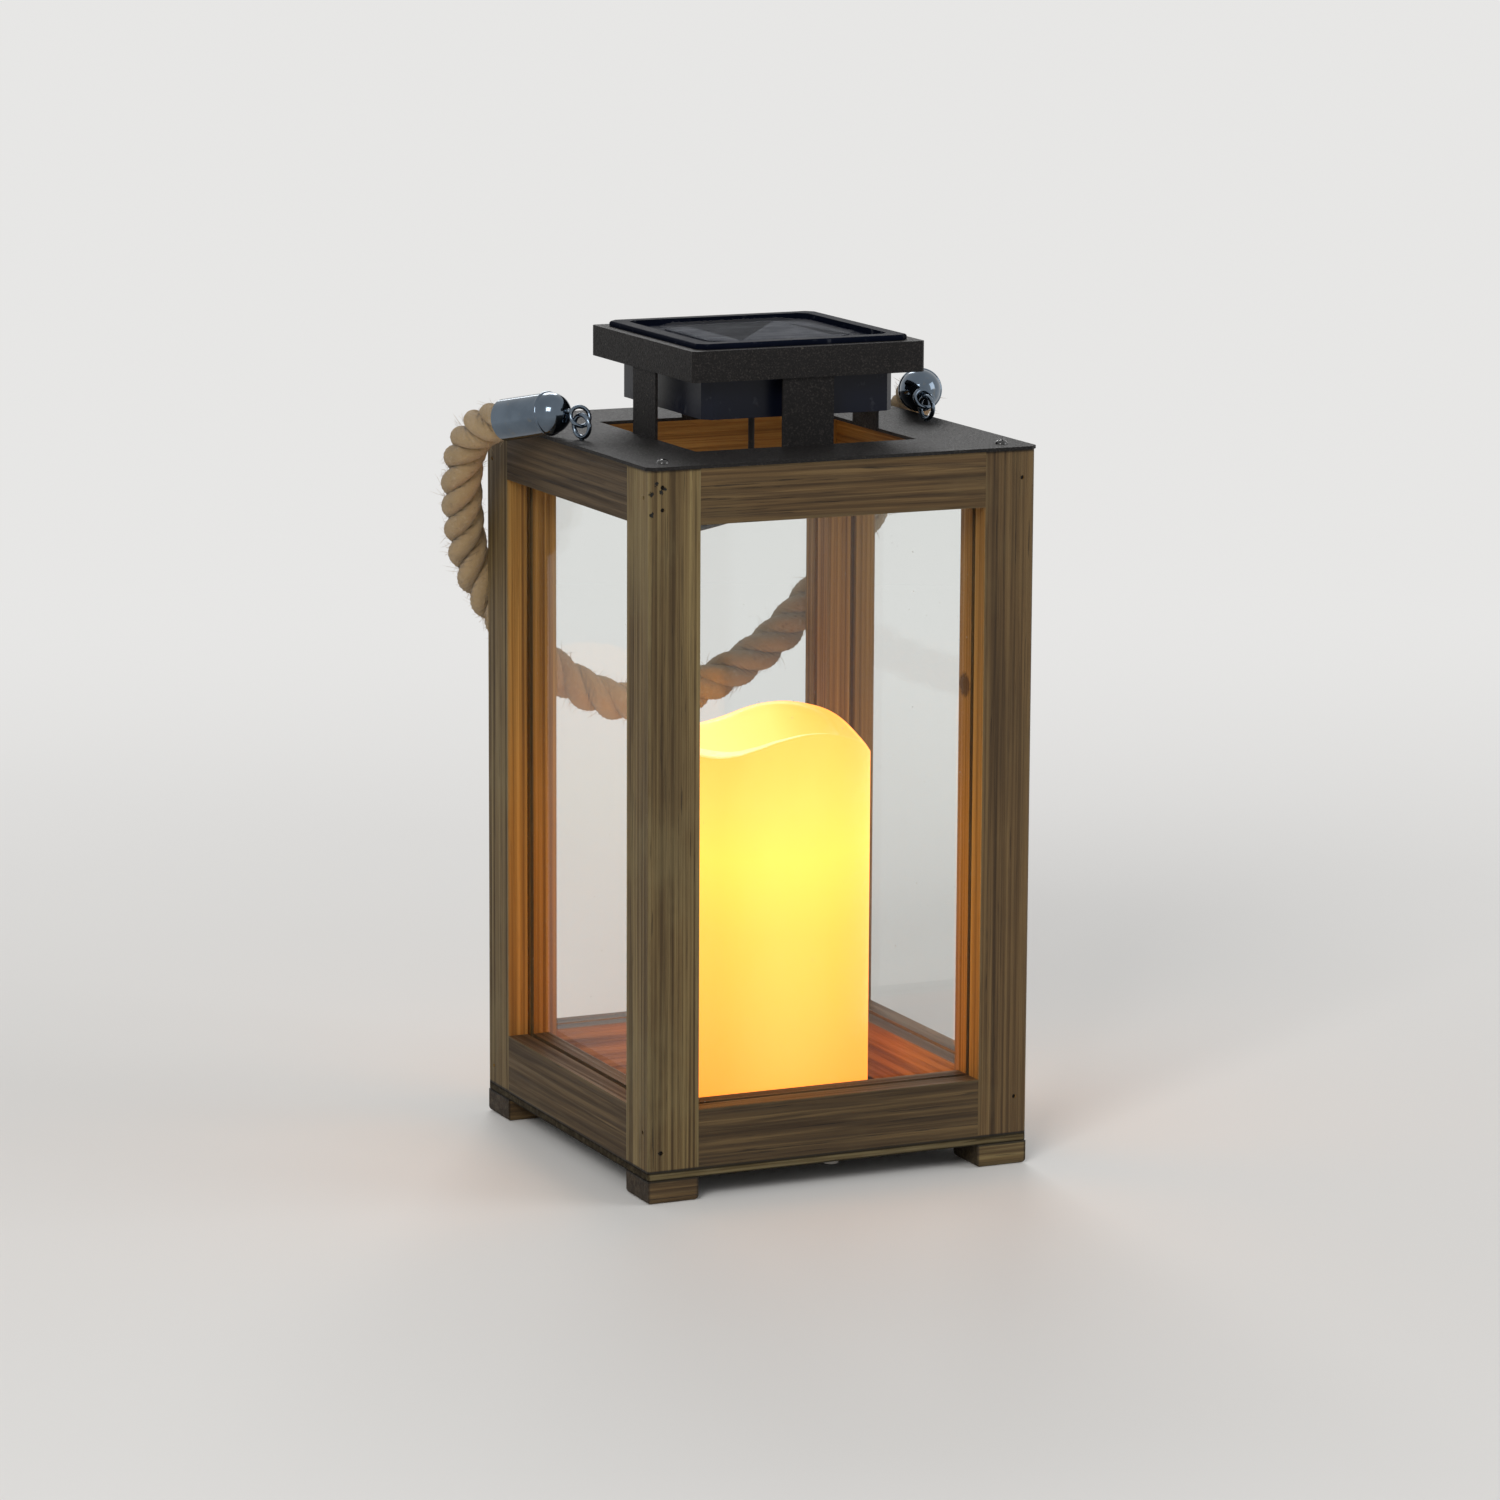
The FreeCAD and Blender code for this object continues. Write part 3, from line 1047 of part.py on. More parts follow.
def ferrule_eye(side):
    """The link wire: a ring through the screw eye, a short neck, and a stem inside the dome."""
    eye, rim, aim = ferrule_frame(side)
    wire = size("link_wire_radius")
    radius = size("link_radius")
    tip = rim - aim * (size("dome_height") + 1.2)
    outward = vector(0, tip.y - eye.y, tip.z - eye.z).normalize()
    centre = eye + outward * radius
    ring = Part.makeTorus(radius, wire, centre, outward.cross(X_AXIS))
    toward = tip - centre
    flat = vector(toward.x, 0, 0) + outward * toward.dot(outward)
    start = centre + flat.normalize() * radius
    neck = Part.makeCylinder(wire, (tip - start).Length, start, tip - start)
    elbow = Part.makeSphere(wire, tip)
    end = rim - aim * (size("dome_height") - 8)
    stem = Part.makeCylinder(wire, (end - tip).Length, tip, end - tip)
    feature = doc.addObject("Part::Feature", "ferrule_eye_" + side)
    feature.Shape = ring.fuse([neck, elbow, stem])
    keep(feature, "ferrule_eye_" + side)


# The rope's route from the left ferrule to the right one: out past the left face, round the back
# corner, low across the back, and up again on the right.
ROPE_MIDDLE = (
    (-90.0, 50.0, 261.7), (-90.2, 60.2, 251.7), (-88.4, 67.3, 239.3), (-85.0, 73.8, 226.5),
    (-80.7, 81.0, 213.0), (-73.2, 85.0, 198.0), (-62.5, 86.0, 183.0), (-50.0, 86.0, 169.8),
    (-36.0, 85.6, 158.6), (-20.0, 85.2, 151.0), (-3.0, 85.0, 148.4), (14.0, 85.2, 153.2),
    (32.5, 85.6, 160.8), (49.0, 86.0, 171.2), (62.5, 86.0, 184.8), (73.2, 84.8, 199.0),
    (81.2, 80.8, 213.5), (86.0, 75.2, 227.6), (88.9, 68.6, 240.8), (89.3, 61.0, 253.4),
    (87.4, 51.2, 263.2),
)
ROPE_LEAD_OUT = 7.0


def rope():
    ends = {}
    for side in ("left", "right"):
        eye, rim, aim = ferrule_frame(side)
        mouth = rim + aim * size("ferrule_length")
        inside = mouth - aim * (size("ferrule_bore_depth") - size("rope_end_gap"))
        ends[side] = [inside, mouth + aim * ROPE_LEAD_OUT]
    points = ends["left"] + [vector(*spot) for spot in ROPE_MIDDLE] + ends["right"][::-1]
    tube("handle_rope", points, size("rope_radius"))


def handle():
    for side in ("left", "right"):
        ferrule(side)
        ferrule_eye(side)
    rope()


# ---------------------------------------------------------------- build, check and export
def check():
    """Stop unless every feature worked and every sub-part is a sound solid."""
    for item in doc.Objects:
        if "Invalid" in item.State or "Error" in item.State:
            raise RuntimeError("%s failed: %s" % (item.Label, item.State))
    for piece in PARTS:
        shape = piece.Shape
        if shape.isNull() or not shape.isValid() or shape.Volume <= 0:
            raise RuntimeError("%s has no sound shape" % piece.Label)


timber()
metal_top()
solar_unit()
lead()
lead_clips()
candle()
handle()
doc.recompute()
check()
os.makedirs("parts", exist_ok=True)
for part in PARTS:
    part.Shape.exportStep(os.path.join("parts", part.Label + ".step"))
print("%d sub-parts written" % len(PARTS))
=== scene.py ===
import math
import random

import bpy
import numpy as np
from mathutils import Matrix, Vector, noise

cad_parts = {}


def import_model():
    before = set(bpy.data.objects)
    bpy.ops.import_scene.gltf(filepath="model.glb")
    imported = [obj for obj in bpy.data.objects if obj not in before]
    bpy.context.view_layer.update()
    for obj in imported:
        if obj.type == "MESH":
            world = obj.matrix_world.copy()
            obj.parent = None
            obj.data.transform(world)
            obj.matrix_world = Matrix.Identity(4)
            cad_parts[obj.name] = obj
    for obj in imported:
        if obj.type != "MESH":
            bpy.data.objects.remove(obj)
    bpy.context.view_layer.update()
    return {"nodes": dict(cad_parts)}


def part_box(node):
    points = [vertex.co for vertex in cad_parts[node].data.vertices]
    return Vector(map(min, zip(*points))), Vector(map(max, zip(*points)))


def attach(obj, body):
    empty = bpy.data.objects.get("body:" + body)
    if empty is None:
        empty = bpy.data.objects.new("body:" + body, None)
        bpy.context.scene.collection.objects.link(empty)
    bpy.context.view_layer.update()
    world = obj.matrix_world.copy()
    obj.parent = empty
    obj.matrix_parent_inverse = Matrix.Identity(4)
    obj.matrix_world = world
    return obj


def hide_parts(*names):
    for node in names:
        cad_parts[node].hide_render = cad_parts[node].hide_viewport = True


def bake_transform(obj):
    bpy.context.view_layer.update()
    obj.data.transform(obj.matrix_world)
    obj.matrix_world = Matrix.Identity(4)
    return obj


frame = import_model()

# Candle lantern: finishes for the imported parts, a laid rope for the handle, a melted candle,
# and the lead's upper end. Metres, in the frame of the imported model.

MM = 0.001
NODES = frame["nodes"]


# ---------------------------------------------------------------- camera
def camera():
    yaw, pitch, roll = 0.429, -0.187, 0.005
    forward = Vector((math.sin(yaw) * math.cos(pitch), math.cos(yaw) * math.cos(pitch), math.sin(pitch)))
    level_right = Vector((math.cos(yaw), -math.sin(yaw), 0))
    level_up = level_right.cross(forward)
    right = math.cos(roll) * level_right + math.sin(roll) * level_up
    up = -math.sin(roll) * level_right + math.cos(roll) * level_up
    data = bpy.data.cameras.new("camera")
    data.lens = 140.6
    data.sensor_width = 36.0
    data.clip_start = 0.05
    data.clip_end = 60.0
    view = bpy.data.objects.new("camera", data)
    bpy.context.scene.collection.objects.link(view)
    turn = Matrix((right, up, -forward)).transposed().to_4x4()
    view.matrix_world = Matrix.Translation(Vector((-878.7, -1916.9, 544.7)) * MM) @ turn
    bpy.context.scene.camera = view


camera()


# ---------------------------------------------------------------- node helpers
class Graph:
    """One material's nodes, with a Principled shader whose constants are set on its own sockets."""

    def __init__(self, name):
        self.material = bpy.data.materials.new(name)
        self.material.use_nodes = True
        self.tree = self.material.node_tree
        self.tree.nodes.clear()
        self.output = self.tree.nodes.new("ShaderNodeOutputMaterial")
        self.shader = self.tree.nodes.new("ShaderNodeBsdfPrincipled")
        self.link(self.shader.outputs[0], self.output.inputs["Surface"])
        self.position = self.tree.nodes.new("ShaderNodeTexCoord").outputs["Object"]

    def link(self, source, target):
        self.tree.links.new(source, target)

    def put(self, value, socket):
        if isinstance(value, bpy.types.NodeSocket):
            self.link(value, socket)
        else:
            socket.default_value = value

    def set(self, **values):
        for name, value in values.items():
            self.put(value, self.shader.inputs[name.replace("_", " ")])
        return self

    def math(self, operation, a, b=0.0, clamp=False):
        node = self.tree.nodes.new("ShaderNodeMath")
        node.operation = operation
        node.use_clamp = clamp
        self.put(a, node.inputs[0])
        self.put(b, node.inputs[1])
        return node.outputs[0]

    def remap(self, value, low, high, out_low=0.0, out_high=1.0, smooth=True):
        node = self.tree.nodes.new("ShaderNodeMapRange")
        node.interpolation_type = "SMOOTHSTEP" if smooth else "LINEAR"
        self.put(value, node.inputs["Value"])
        node.inputs["From Min"].default_value = low
        node.inputs["From Max"].default_value = high
        node.inputs["To Min"].default_value = out_low
        node.inputs["To Max"].default_value = out_high
        return node.outputs[0]

    def split(self, vector):
        node = self.tree.nodes.new("ShaderNodeSeparateXYZ")
        self.link(vector, node.inputs[0])
        return node.outputs

    def shifted(self, scale, shift=(0, 0, 0), vector=None):
        node = self.tree.nodes.new("ShaderNodeMapping")
        self.link(vector or self.position, node.inputs["Vector"])
        node.inputs["Scale"].default_value = scale
        node.inputs["Location"].default_value = shift
        return node.outputs[0]

    def noise(self, vector, scale, detail=3.0, rough=0.55, twist=0.0):
        node = self.tree.nodes.new("ShaderNodeTexNoise")
        self.link(vector, node.inputs["Vector"])
        node.inputs["Scale"].default_value = scale
        node.inputs["Detail"].default_value = detail
        node.inputs["Roughness"].default_value = rough
        node.inputs["Distortion"].default_value = twist
        return node.outputs["Fac"]

    def cells(self, vector, scale):
        node = self.tree.nodes.new("ShaderNodeTexVoronoi")
        self.link(vector, node.inputs["Vector"])
        node.inputs["Scale"].default_value = scale
        return node.outputs["Distance"]

    def wave(self, vector, scale, twist=0.0, detail=2.0, detail_scale=1.0, direction="X"):
        node = self.tree.nodes.new("ShaderNodeTexWave")
        node.bands_direction = direction
        self.link(vector, node.inputs["Vector"])
        node.inputs["Scale"].default_value = scale
        node.inputs["Distortion"].default_value = twist
        node.inputs["Detail"].default_value = detail
        node.inputs["Detail Scale"].default_value = detail_scale
        return node.outputs["Fac"]

    def ramp(self, value, *stops):
        node = self.tree.nodes.new("ShaderNodeValToRGB")
        self.link(value, node.inputs[0])
        band = node.color_ramp
        band.elements[0].position = stops[0][0]
        band.elements[1].position = stops[-1][0]
        for place, _ in stops[1:-1]:
            band.elements.new(place)
        for element, (_, tone) in zip(band.elements, stops):
            element.color = (*colour(tone), 1.0)
        return node.outputs[0]

    def mix(self, share, a, b, blend="MIX"):
        node = self.tree.nodes.new("ShaderNodeMix")
        node.data_type = "RGBA"
        node.blend_type = blend
        self.put(share, node.inputs[0])
        for value, socket in ((a, node.inputs[6]), (b, node.inputs[7])):
            self.put(value if isinstance(value, bpy.types.NodeSocket) else (*colour(value), 1.0), socket)
        return node.outputs[2]

    def bump(self, height, depth, strength=1.0, over=None):
        node = self.tree.nodes.new("ShaderNodeBump")
        node.inputs["Strength"].default_value = strength
        node.inputs["Distance"].default_value = depth
        self.link(height, node.inputs["Height"])
        if over is not None:
            self.link(over, node.inputs["Normal"])
        return node.outputs[0]


def colour(tone):
    """A display colour of 0 to 255 as the linear one that nodes hold."""
    def linear(value):
        share = value / 255
        return share / 12.92 if share <= 0.04045 else ((share + 0.055) / 1.055) ** 2.4
    return tuple(linear(value) for value in tone)


def give(material, *names):
    """Puts one finish on CAD nodes."""
    for name in names:
        slots = NODES[name].data.materials
        slots.clear()
        slots.append(material)


def smooth(mesh):
    for face in mesh.polygons:
        face.use_smooth = True


def add_mesh(name, vertices, faces, material):
    mesh = bpy.data.meshes.new(name)
    mesh.from_pydata([tuple(point) for point in vertices], [], [tuple(face) for face in faces])
    mesh.validate()
    mesh.materials.append(material)
    smooth(mesh)
    piece = bpy.data.objects.new(name, mesh)
    bpy.context.scene.collection.objects.link(piece)
    return piece


# ---------------------------------------------------------------- timber
def edge_wear(g, centre, half, along):
    """1 on a bar's long edges and 0 a few millimetres in, with a ragged border."""
    axes = [axis for axis in range(3) if axis != along]
    place = g.split(g.position)
    inset = []
    for axis in axes:
        away = g.math("ABSOLUTE", g.math("SUBTRACT", place[axis], centre[axis]))
        inset.append(g.math("SUBTRACT", half[axis], away))
    depth = g.math("MAXIMUM", *inset)
    ragged = g.noise(g.shifted([30 if axis == along else 90 for axis in range(3)]), 2.2, 4.0)
    depth = g.math("ADD", depth, g.math("MULTIPLY", g.math("SUBTRACT", ragged, 0.5), 0.0024))
    return g.remap(depth, 0.0002, 0.0012, 1.0, 0.0)


def end_shade(g, centre, half, along):
    """1 at a bar's two ends, where painted shade darkens the joints and gaps, and 0 just inside them."""
    place = g.split(g.position)
    away = g.math("ABSOLUTE", g.math("SUBTRACT", place[along], centre[along]))
    return g.remap(g.math("SUBTRACT", half[along], away), 0.0002, 0.0011, 1.0, 0.0)


def inner_side(g, centre):
    """1 on the faces that look into the lantern and 0 on the rest."""
    facing = g.split(g.tree.nodes.new("ShaderNodeNewGeometry").outputs["Normal"])
    looks = [g.math("MULTIPLY", facing[axis], -math.copysign(1.0, centre[axis]))
             for axis in (0, 1) if abs(centre[axis]) > 0.05]
    toward = facing[2]
    if looks:
        toward = looks[0] if len(looks) == 1 else g.math("MAXIMUM", *looks)
    return g.remap(toward, 0.6, 0.8)


def seams(g):
    """1 in the two gap lines over and under the base board, where shade is painted."""
    low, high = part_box("base_board")
    place = g.split(g.position)
    found = None
    for level in (low.z, high.z):
        away = g.math("ABSOLUTE", g.math("SUBTRACT", place[2], level))
        line = g.remap(away, 0.00035, 0.0008, 1.0, 0.0)
        found = line if found is None else g.math("MAXIMUM", found, line)
    return found


def spots(g, places, radius, ragged):
    """1 inside small ragged marks at these places, and 0 elsewhere."""
    found = None
    wander = g.math("MULTIPLY", g.math("SUBTRACT", g.noise(g.position, 900.0, 2.0), 0.5), ragged)
    for place in places:
        node = g.tree.nodes.new("ShaderNodeVectorMath")
        node.operation = "DISTANCE"
        g.link(g.position, node.inputs[0])
        node.inputs[1].default_value = [value * MM for value in place]
        mark = g.remap(g.math("ADD", node.outputs["Value"], wander), radius * 0.6, radius, 1.0, 0.0)
        found = mark if found is None else g.math("MAXIMUM", found, mark)
    return found


def wood(name, along, seed, tones, plain_sawn, marks=(), knots=()):
    """Stained, weathered softwood with its grain along one axis, with painted candle glow on the faces inside the
    lantern and painted shade at the joints and nail holes.
    """
    g = Graph("wood_" + name)
    low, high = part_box(name)
    centre, half = (low + high) / 2, (high - low) / 2
    jump = [seed * 0.37 + 0.11, seed * 0.73 + 0.29, seed * 1.31 + 0.53]
    across = [axis for axis in range(3) if axis != along]

    def stretched(along_scale, across_scale, other_scale=None):
        scale = [across_scale] * 3
        scale[along] = along_scale
        scale[across[1]] = other_scale or across_scale
        return g.shifted(scale, jump)

    broad = g.noise(stretched(6.0, 70.0), 1.0, 4.0, 0.6, 0.4)
    streak = g.noise(stretched(7.0 if plain_sawn else 3.5, 460.0 if plain_sawn else 640.0), 1.0, 4.0, 0.6,
                     0.5 if plain_sawn else 0.15)
    thread = g.noise(stretched(22.0, 1500.0), 1.0, 4.0, 0.65)
    fibre = g.noise(stretched(120.0, 3200.0), 1.0, 3.0, 0.6)
    cloud = g.noise(stretched(16.0, 30.0), 1.0, 4.0, 0.6)
    dark, mid, light, grey = tones
    sheer = 0.7 if plain_sawn else 1.0
    base = g.ramp(streak, (0.5 - 0.2 * sheer, light), (0.49, mid), (0.5 + 0.13 / sheer, dark))
    if plain_sawn:
        growth = g.wave(stretched(5.0, 46.0, 120.0), 1.0, 7.0, 3.0, 1.1, "DIAGONAL")
        base = g.mix(g.remap(growth, 0.08, 0.42, 0.42, 0.0), base, dark)
    base = g.mix(g.remap(broad, 0.42, 0.7, 0.0, 0.5), base, dark)
    base = g.mix(g.remap(broad, 0.44, 0.26, 0.0, 0.45), base, light)
    base = g.mix(g.remap(cloud, 0.5, 0.7, 0.0, 0.3), base, grey)
    base = g.mix(g.remap(thread, 0.5, 0.72, 0.0, 0.55), base, [value * 0.62 for value in dark])
    base = g.mix(g.remap(thread, 0.44, 0.28, 0.0, 0.35), base, grey)
    pores = g.remap(g.noise(stretched(34.0, 1500.0), 1.0, 2.0), 0.66, 0.73)
    base = g.mix(g.math("MULTIPLY", pores, 0.7), base, [value * 0.4 for value in dark])
    if "foot" not in name:
        # Painted candle light: the faces that look into the lantern, and the base board's top, get a deeper orange as
        # if lit by the candle.
        deep, cover = (0.27, 0.95) if name == "base_board" else (0.95, 0.8)
        candle_glow = g.ramp(streak, *((place, [value * deep for value in tone]) for place, tone in (
            (0.36, (172, 130, 62)), (0.5, (148, 107, 45)), (0.66, (104, 70, 28)))))
        base = g.mix(g.math("MULTIPLY", inner_side(g, centre), cover), base, candle_glow)
    base = g.mix(g.math("MULTIPLY", edge_wear(g, centre, half, along), 0.4), base, grey)
    # Painted shade at the bars' ends, in the joints and gaps.
    base = g.mix(g.math("MULTIPLY", end_shade(g, centre, half, along), 0.75), base, [value * 0.4 for value in dark])
    # Painted shade in the gap lines over and under the base board.
    base = g.mix(g.math("MULTIPLY", seams(g), 0.85), base, [value * 0.3 for value in dark])
    height = g.math("ADD", g.math("MULTIPLY", streak, -0.7), g.math("MULTIPLY", thread, -0.5))
    height = g.math("ADD", height, g.math("MULTIPLY", fibre, 0.25))
    height = g.math("SUBTRACT", height, g.math("MULTIPLY", pores, 0.5))
    # Nail holes: near-black painted shade in the holes, with a dip in the bump.
    if marks:
        holes = spots(g, marks, 0.0009, 0.0022)
        base = g.mix(holes, base, (12, 10, 7))
        height = g.math("SUBTRACT", height, g.math("MULTIPLY", holes, 2.0))
    if knots:
        knot = spots(g, knots, 0.0052, 0.004)
        base = g.mix(g.math("MULTIPLY", knot, 0.85), base, (40, 24, 13))
    g.set(Base_Color=base, Roughness=g.remap(streak, 0.3, 0.7, 0.58, 0.8))
    g.set(Normal=g.bump(height, 0.00045, 0.8), Specular_IOR_Level=0.06 if name == "base_board" else 0.3)
    return g.material


OLIVE = ((66, 51, 29), (101, 82, 50), (133, 115, 75), (124, 112, 78))
BROWN = ((58, 43, 25), (90, 69, 41), (115, 92, 57), (104, 88, 58))
DEEP = ((52, 39, 24), (79, 62, 38), (102, 82, 51), (94, 80, 54))
# A darker copy of the stain for the left top rail under the plate: painted shadow.
RAIL_SHADOW_TONES = ((44, 33, 20), (66, 51, 32), (86, 68, 43), (80, 67, 46))
GREY = ((60, 49, 33), (93, 80, 54), (121, 109, 79), (130, 120, 92))

# Places of the nail holes, where shade is painted.
NAIL_HOLES = ((-72.3, -75.0, 258.0), (-69.6, -75.0, 256.0), (-70.2, -75.0, 255.0), (-74.3, -75.0, 254.2),
              (-74.1, -75.0, 246.8), (-70.4, -75.0, 18.5))
timber = (
    ("post_front_left", 2, 1, OLIVE), ("post_front_right", 2, 2, BROWN),
    ("post_back_right", 2, 3, BROWN), ("post_back_left", 2, 4, OLIVE),
    ("top_rail_front", 0, 5, BROWN), ("top_rail_right", 1, 6, BROWN),
    ("top_rail_back", 0, 7, BROWN), ("top_rail_left", 1, 8, RAIL_SHADOW_TONES),
    ("bottom_rail_front", 0, 9, DEEP), ("bottom_rail_right", 1, 10, BROWN),
    ("bottom_rail_back", 0, 11, DEEP), ("bottom_rail_left", 1, 12, DEEP),
    ("foot_front_left", 0, 13, BROWN), ("foot_front_right", 0, 14, OLIVE),
    ("foot_back_right", 0, 15, BROWN), ("foot_back_left", 0, 16, BROWN),
    ("base_board", 0, 17, GREY),
)
for node, along, seed, tones in timber:
    holes = NAIL_HOLES if node == "post_front_left" else ()
    knots = ((55.5, -60.0, 176.0),) if node == "post_front_right" else ()
    give(wood(node, along, seed, tones, along != 2, holes, knots), node)


# ---------------------------------------------------------------- metal and glass
def powder_coat(name, tone, pale):
    g = Graph(name)
    grit = g.noise(g.position, 1150.0, 3.0, 0.75)
    fleck = g.noise(g.shifted((1, 1, 1), (3.1, 0.7, 1.9)), 1700.0, 2.0, 0.6)
    haze = g.noise(g.position, 26.0, 4.0, 0.6)
    base = g.mix(g.remap(haze, 0.3, 0.75), tone, [value * 1.22 + 2 for value in tone])
    base = g.mix(g.remap(fleck, 0.5, 0.68, 0.0, 0.62), base, pale)
    dust = g.remap(g.noise(g.shifted((1, 1, 1), (0.3, 2.7, 0.9)), 420.0, 2.0), 0.72, 0.78, 0.0, 0.3)
    base = g.mix(dust, base, (122, 116, 106))
    g.set(Base_Color=base, Roughness=g.remap(grit, 0.3, 0.7, 0.5, 0.7), Specular_IOR_Level=0.14)
    g.set(Normal=g.bump(grit, 0.0004, 0.9))
    return g.material


give(powder_coat("black_metal", (21, 20, 20), (58, 54, 52)), "top_plate", "cap_frame")


def plain(name, tone, other, rough, grain=900.0, depth=0.00006, metal=0.0, coat=0.0, specular=0.5,
          dirt=None, scratch=0.0):
    """A moulded, plated or painted finish with slight colour, gloss and surface variation."""
    g = Graph(name)
    cloud = g.noise(g.position, 45.0, 4.0, 0.6)
    grit = g.noise(g.position, grain, 3.0, 0.6)
    base = g.mix(g.remap(cloud, 0.3, 0.72), tone, other)
    gloss = g.remap(g.math("ADD", g.math("MULTIPLY", cloud, 0.6), g.math("MULTIPLY", grit, 0.4)), 0.3, 0.7, *rough)
    if scratch:
        line = g.noise(g.shifted((60, 1900, 400)), 1.0, 3.0, 0.6)
        gloss = g.math("ADD", gloss, g.remap(line, 0.6, 0.72, 0.0, scratch))
    if dirt:
        spot = g.remap(g.noise(g.shifted((1, 1, 1), (1.3, 0.2, 2.9)), 260.0, 3.0), 0.62, 0.75, 0.0, 0.5)
        base = g.mix(spot, base, dirt)
        gloss = g.math("ADD", gloss, g.math("MULTIPLY", spot, 0.3))
    g.set(Base_Color=base, Roughness=gloss, Metallic=metal, Specular_IOR_Level=specular)
    g.set(Normal=g.bump(grit, depth, 0.6))
    if coat:
        g.set(Coat_Weight=coat, Coat_Roughness=0.06)
    return g.material


chrome = plain("chrome", (108, 120, 132), (88, 99, 111), (0.06, 0.14), 240.0, 0.00003, metal=1.0,
               dirt=(120, 118, 112), scratch=0.12)
give(chrome, "ferrule_left", "ferrule_right", "ferrule_eye_left", "ferrule_eye_right",
     "screw_eye_left", "screw_eye_right")
steel = plain("steel", (150, 148, 144), (118, 115, 110), (0.25, 0.42), 700.0, metal=1.0, dirt=(84, 62, 44))
give(steel, "base_screws", "board_screws", "candle_screws", "clip_nails", "cover_screws", "foot_screws",
     "lid_screws")
give(plain("brad_steel", (44, 38, 33), (24, 20, 17), (0.5, 0.7), 900.0, metal=0.8, dirt=(70, 44, 27)),
     "frame_brads")
give(plain("black_screw", (17, 17, 18), (27, 26, 27), (0.16, 0.28), 800.0, coat=0.4), "plate_screws")
give(plain("contact_metal", (196, 180, 140), (168, 150, 112), (0.22, 0.36), 800.0, metal=1.0),
     "contact_minus", "contact_plus")
give(plain("navy_plastic", (9, 13, 26), (13, 18, 33), (0.3, 0.42), 1400.0, 0.00004, specular=0.2,
           dirt=(52, 54, 60)), "solar_housing", "battery_cover", "switch_body")
give(plain("lid_plastic", (11, 15, 26), (15, 19, 31), (0.26, 0.38), 1300.0, 0.00004, specular=0.004,
           dirt=(74, 77, 84)), "solar_lid")
give(plain("white_plastic", (222, 220, 212), (205, 202, 192), (0.32, 0.45), 1200.0), "lead_clips",
     "switch_slider")
give(plain("candle_plastic", (226, 208, 158), (214, 194, 142), (0.35, 0.5), 1100.0), "candle_base")
rubber = plain("rubber", (20, 20, 21), (31, 30, 30), (0.48, 0.66), 1500.0, 0.00008, specular=0.35,
               dirt=(60, 56, 50))
give(rubber, "cable_gland", "housing_seal", "lead_lower")
give(plain("circuit_green", (22, 84, 48), (16, 66, 40), (0.25, 0.38), 1000.0, coat=0.4), "circuit_board",
     "led_board")
give(plain("component", (26, 26, 28), (48, 44, 40), (0.35, 0.5), 1200.0), "circuit_parts")


def battery_sleeve():
    g = Graph("battery_sleeve")
    place = g.split(g.position)
    band = g.remap(place[0], 0.0138, 0.0142)
    cloud = g.noise(g.position, 60.0, 3.0)
    green = g.mix(g.remap(cloud, 0.3, 0.7), (40, 118, 70), (32, 100, 60))
    g.set(Base_Color=g.mix(band, green, (206, 206, 200)), Roughness=g.remap(cloud, 0.3, 0.7, 0.2, 0.34))
    g.set(Normal=g.bump(g.noise(g.position, 500.0), 0.00005, 0.6))
    return g.material


give(battery_sleeve(), "battery_cell")


def solar_cell():
    """Dark grey cell with fine silver fingers and two bus bars."""
    g = Graph("solar_cell")
    place = g.split(g.position)
    grain = g.cells(g.shifted((1, 1, 0.2)), 260.0)
    cloud = g.noise(g.position, 90.0, 3.0)
    base = g.ramp(cloud, (0.3, (38, 40, 46)), (0.7, (48, 50, 55)))
    base = g.mix(g.remap(grain, 0.2, 0.7, 0.0, 0.35), base, (30, 34, 46))
    finger = g.math("PINGPONG", g.math("ADD", place[0], 0.1), 0.00095)
    base = g.mix(g.remap(finger, 0.00012, 0.00002, 0.0, 0.2), base, (96, 99, 104))
    bar = g.math("ABSOLUTE", g.math("SUBTRACT", g.math("ABSOLUTE", place[1]), 0.013))
    base = g.mix(g.remap(bar, 0.0007, 0.0005, 0.0, 0.25), base, (104, 107, 112))
    g.set(Base_Color=base, Roughness=g.remap(cloud, 0.3, 0.7, 0.4, 0.55))
    g.set(Specular_IOR_Level=0.01, Normal=g.bump(grain, 0.00002, 0.5))
    return g.material


give(solar_cell(), "solar_cell")


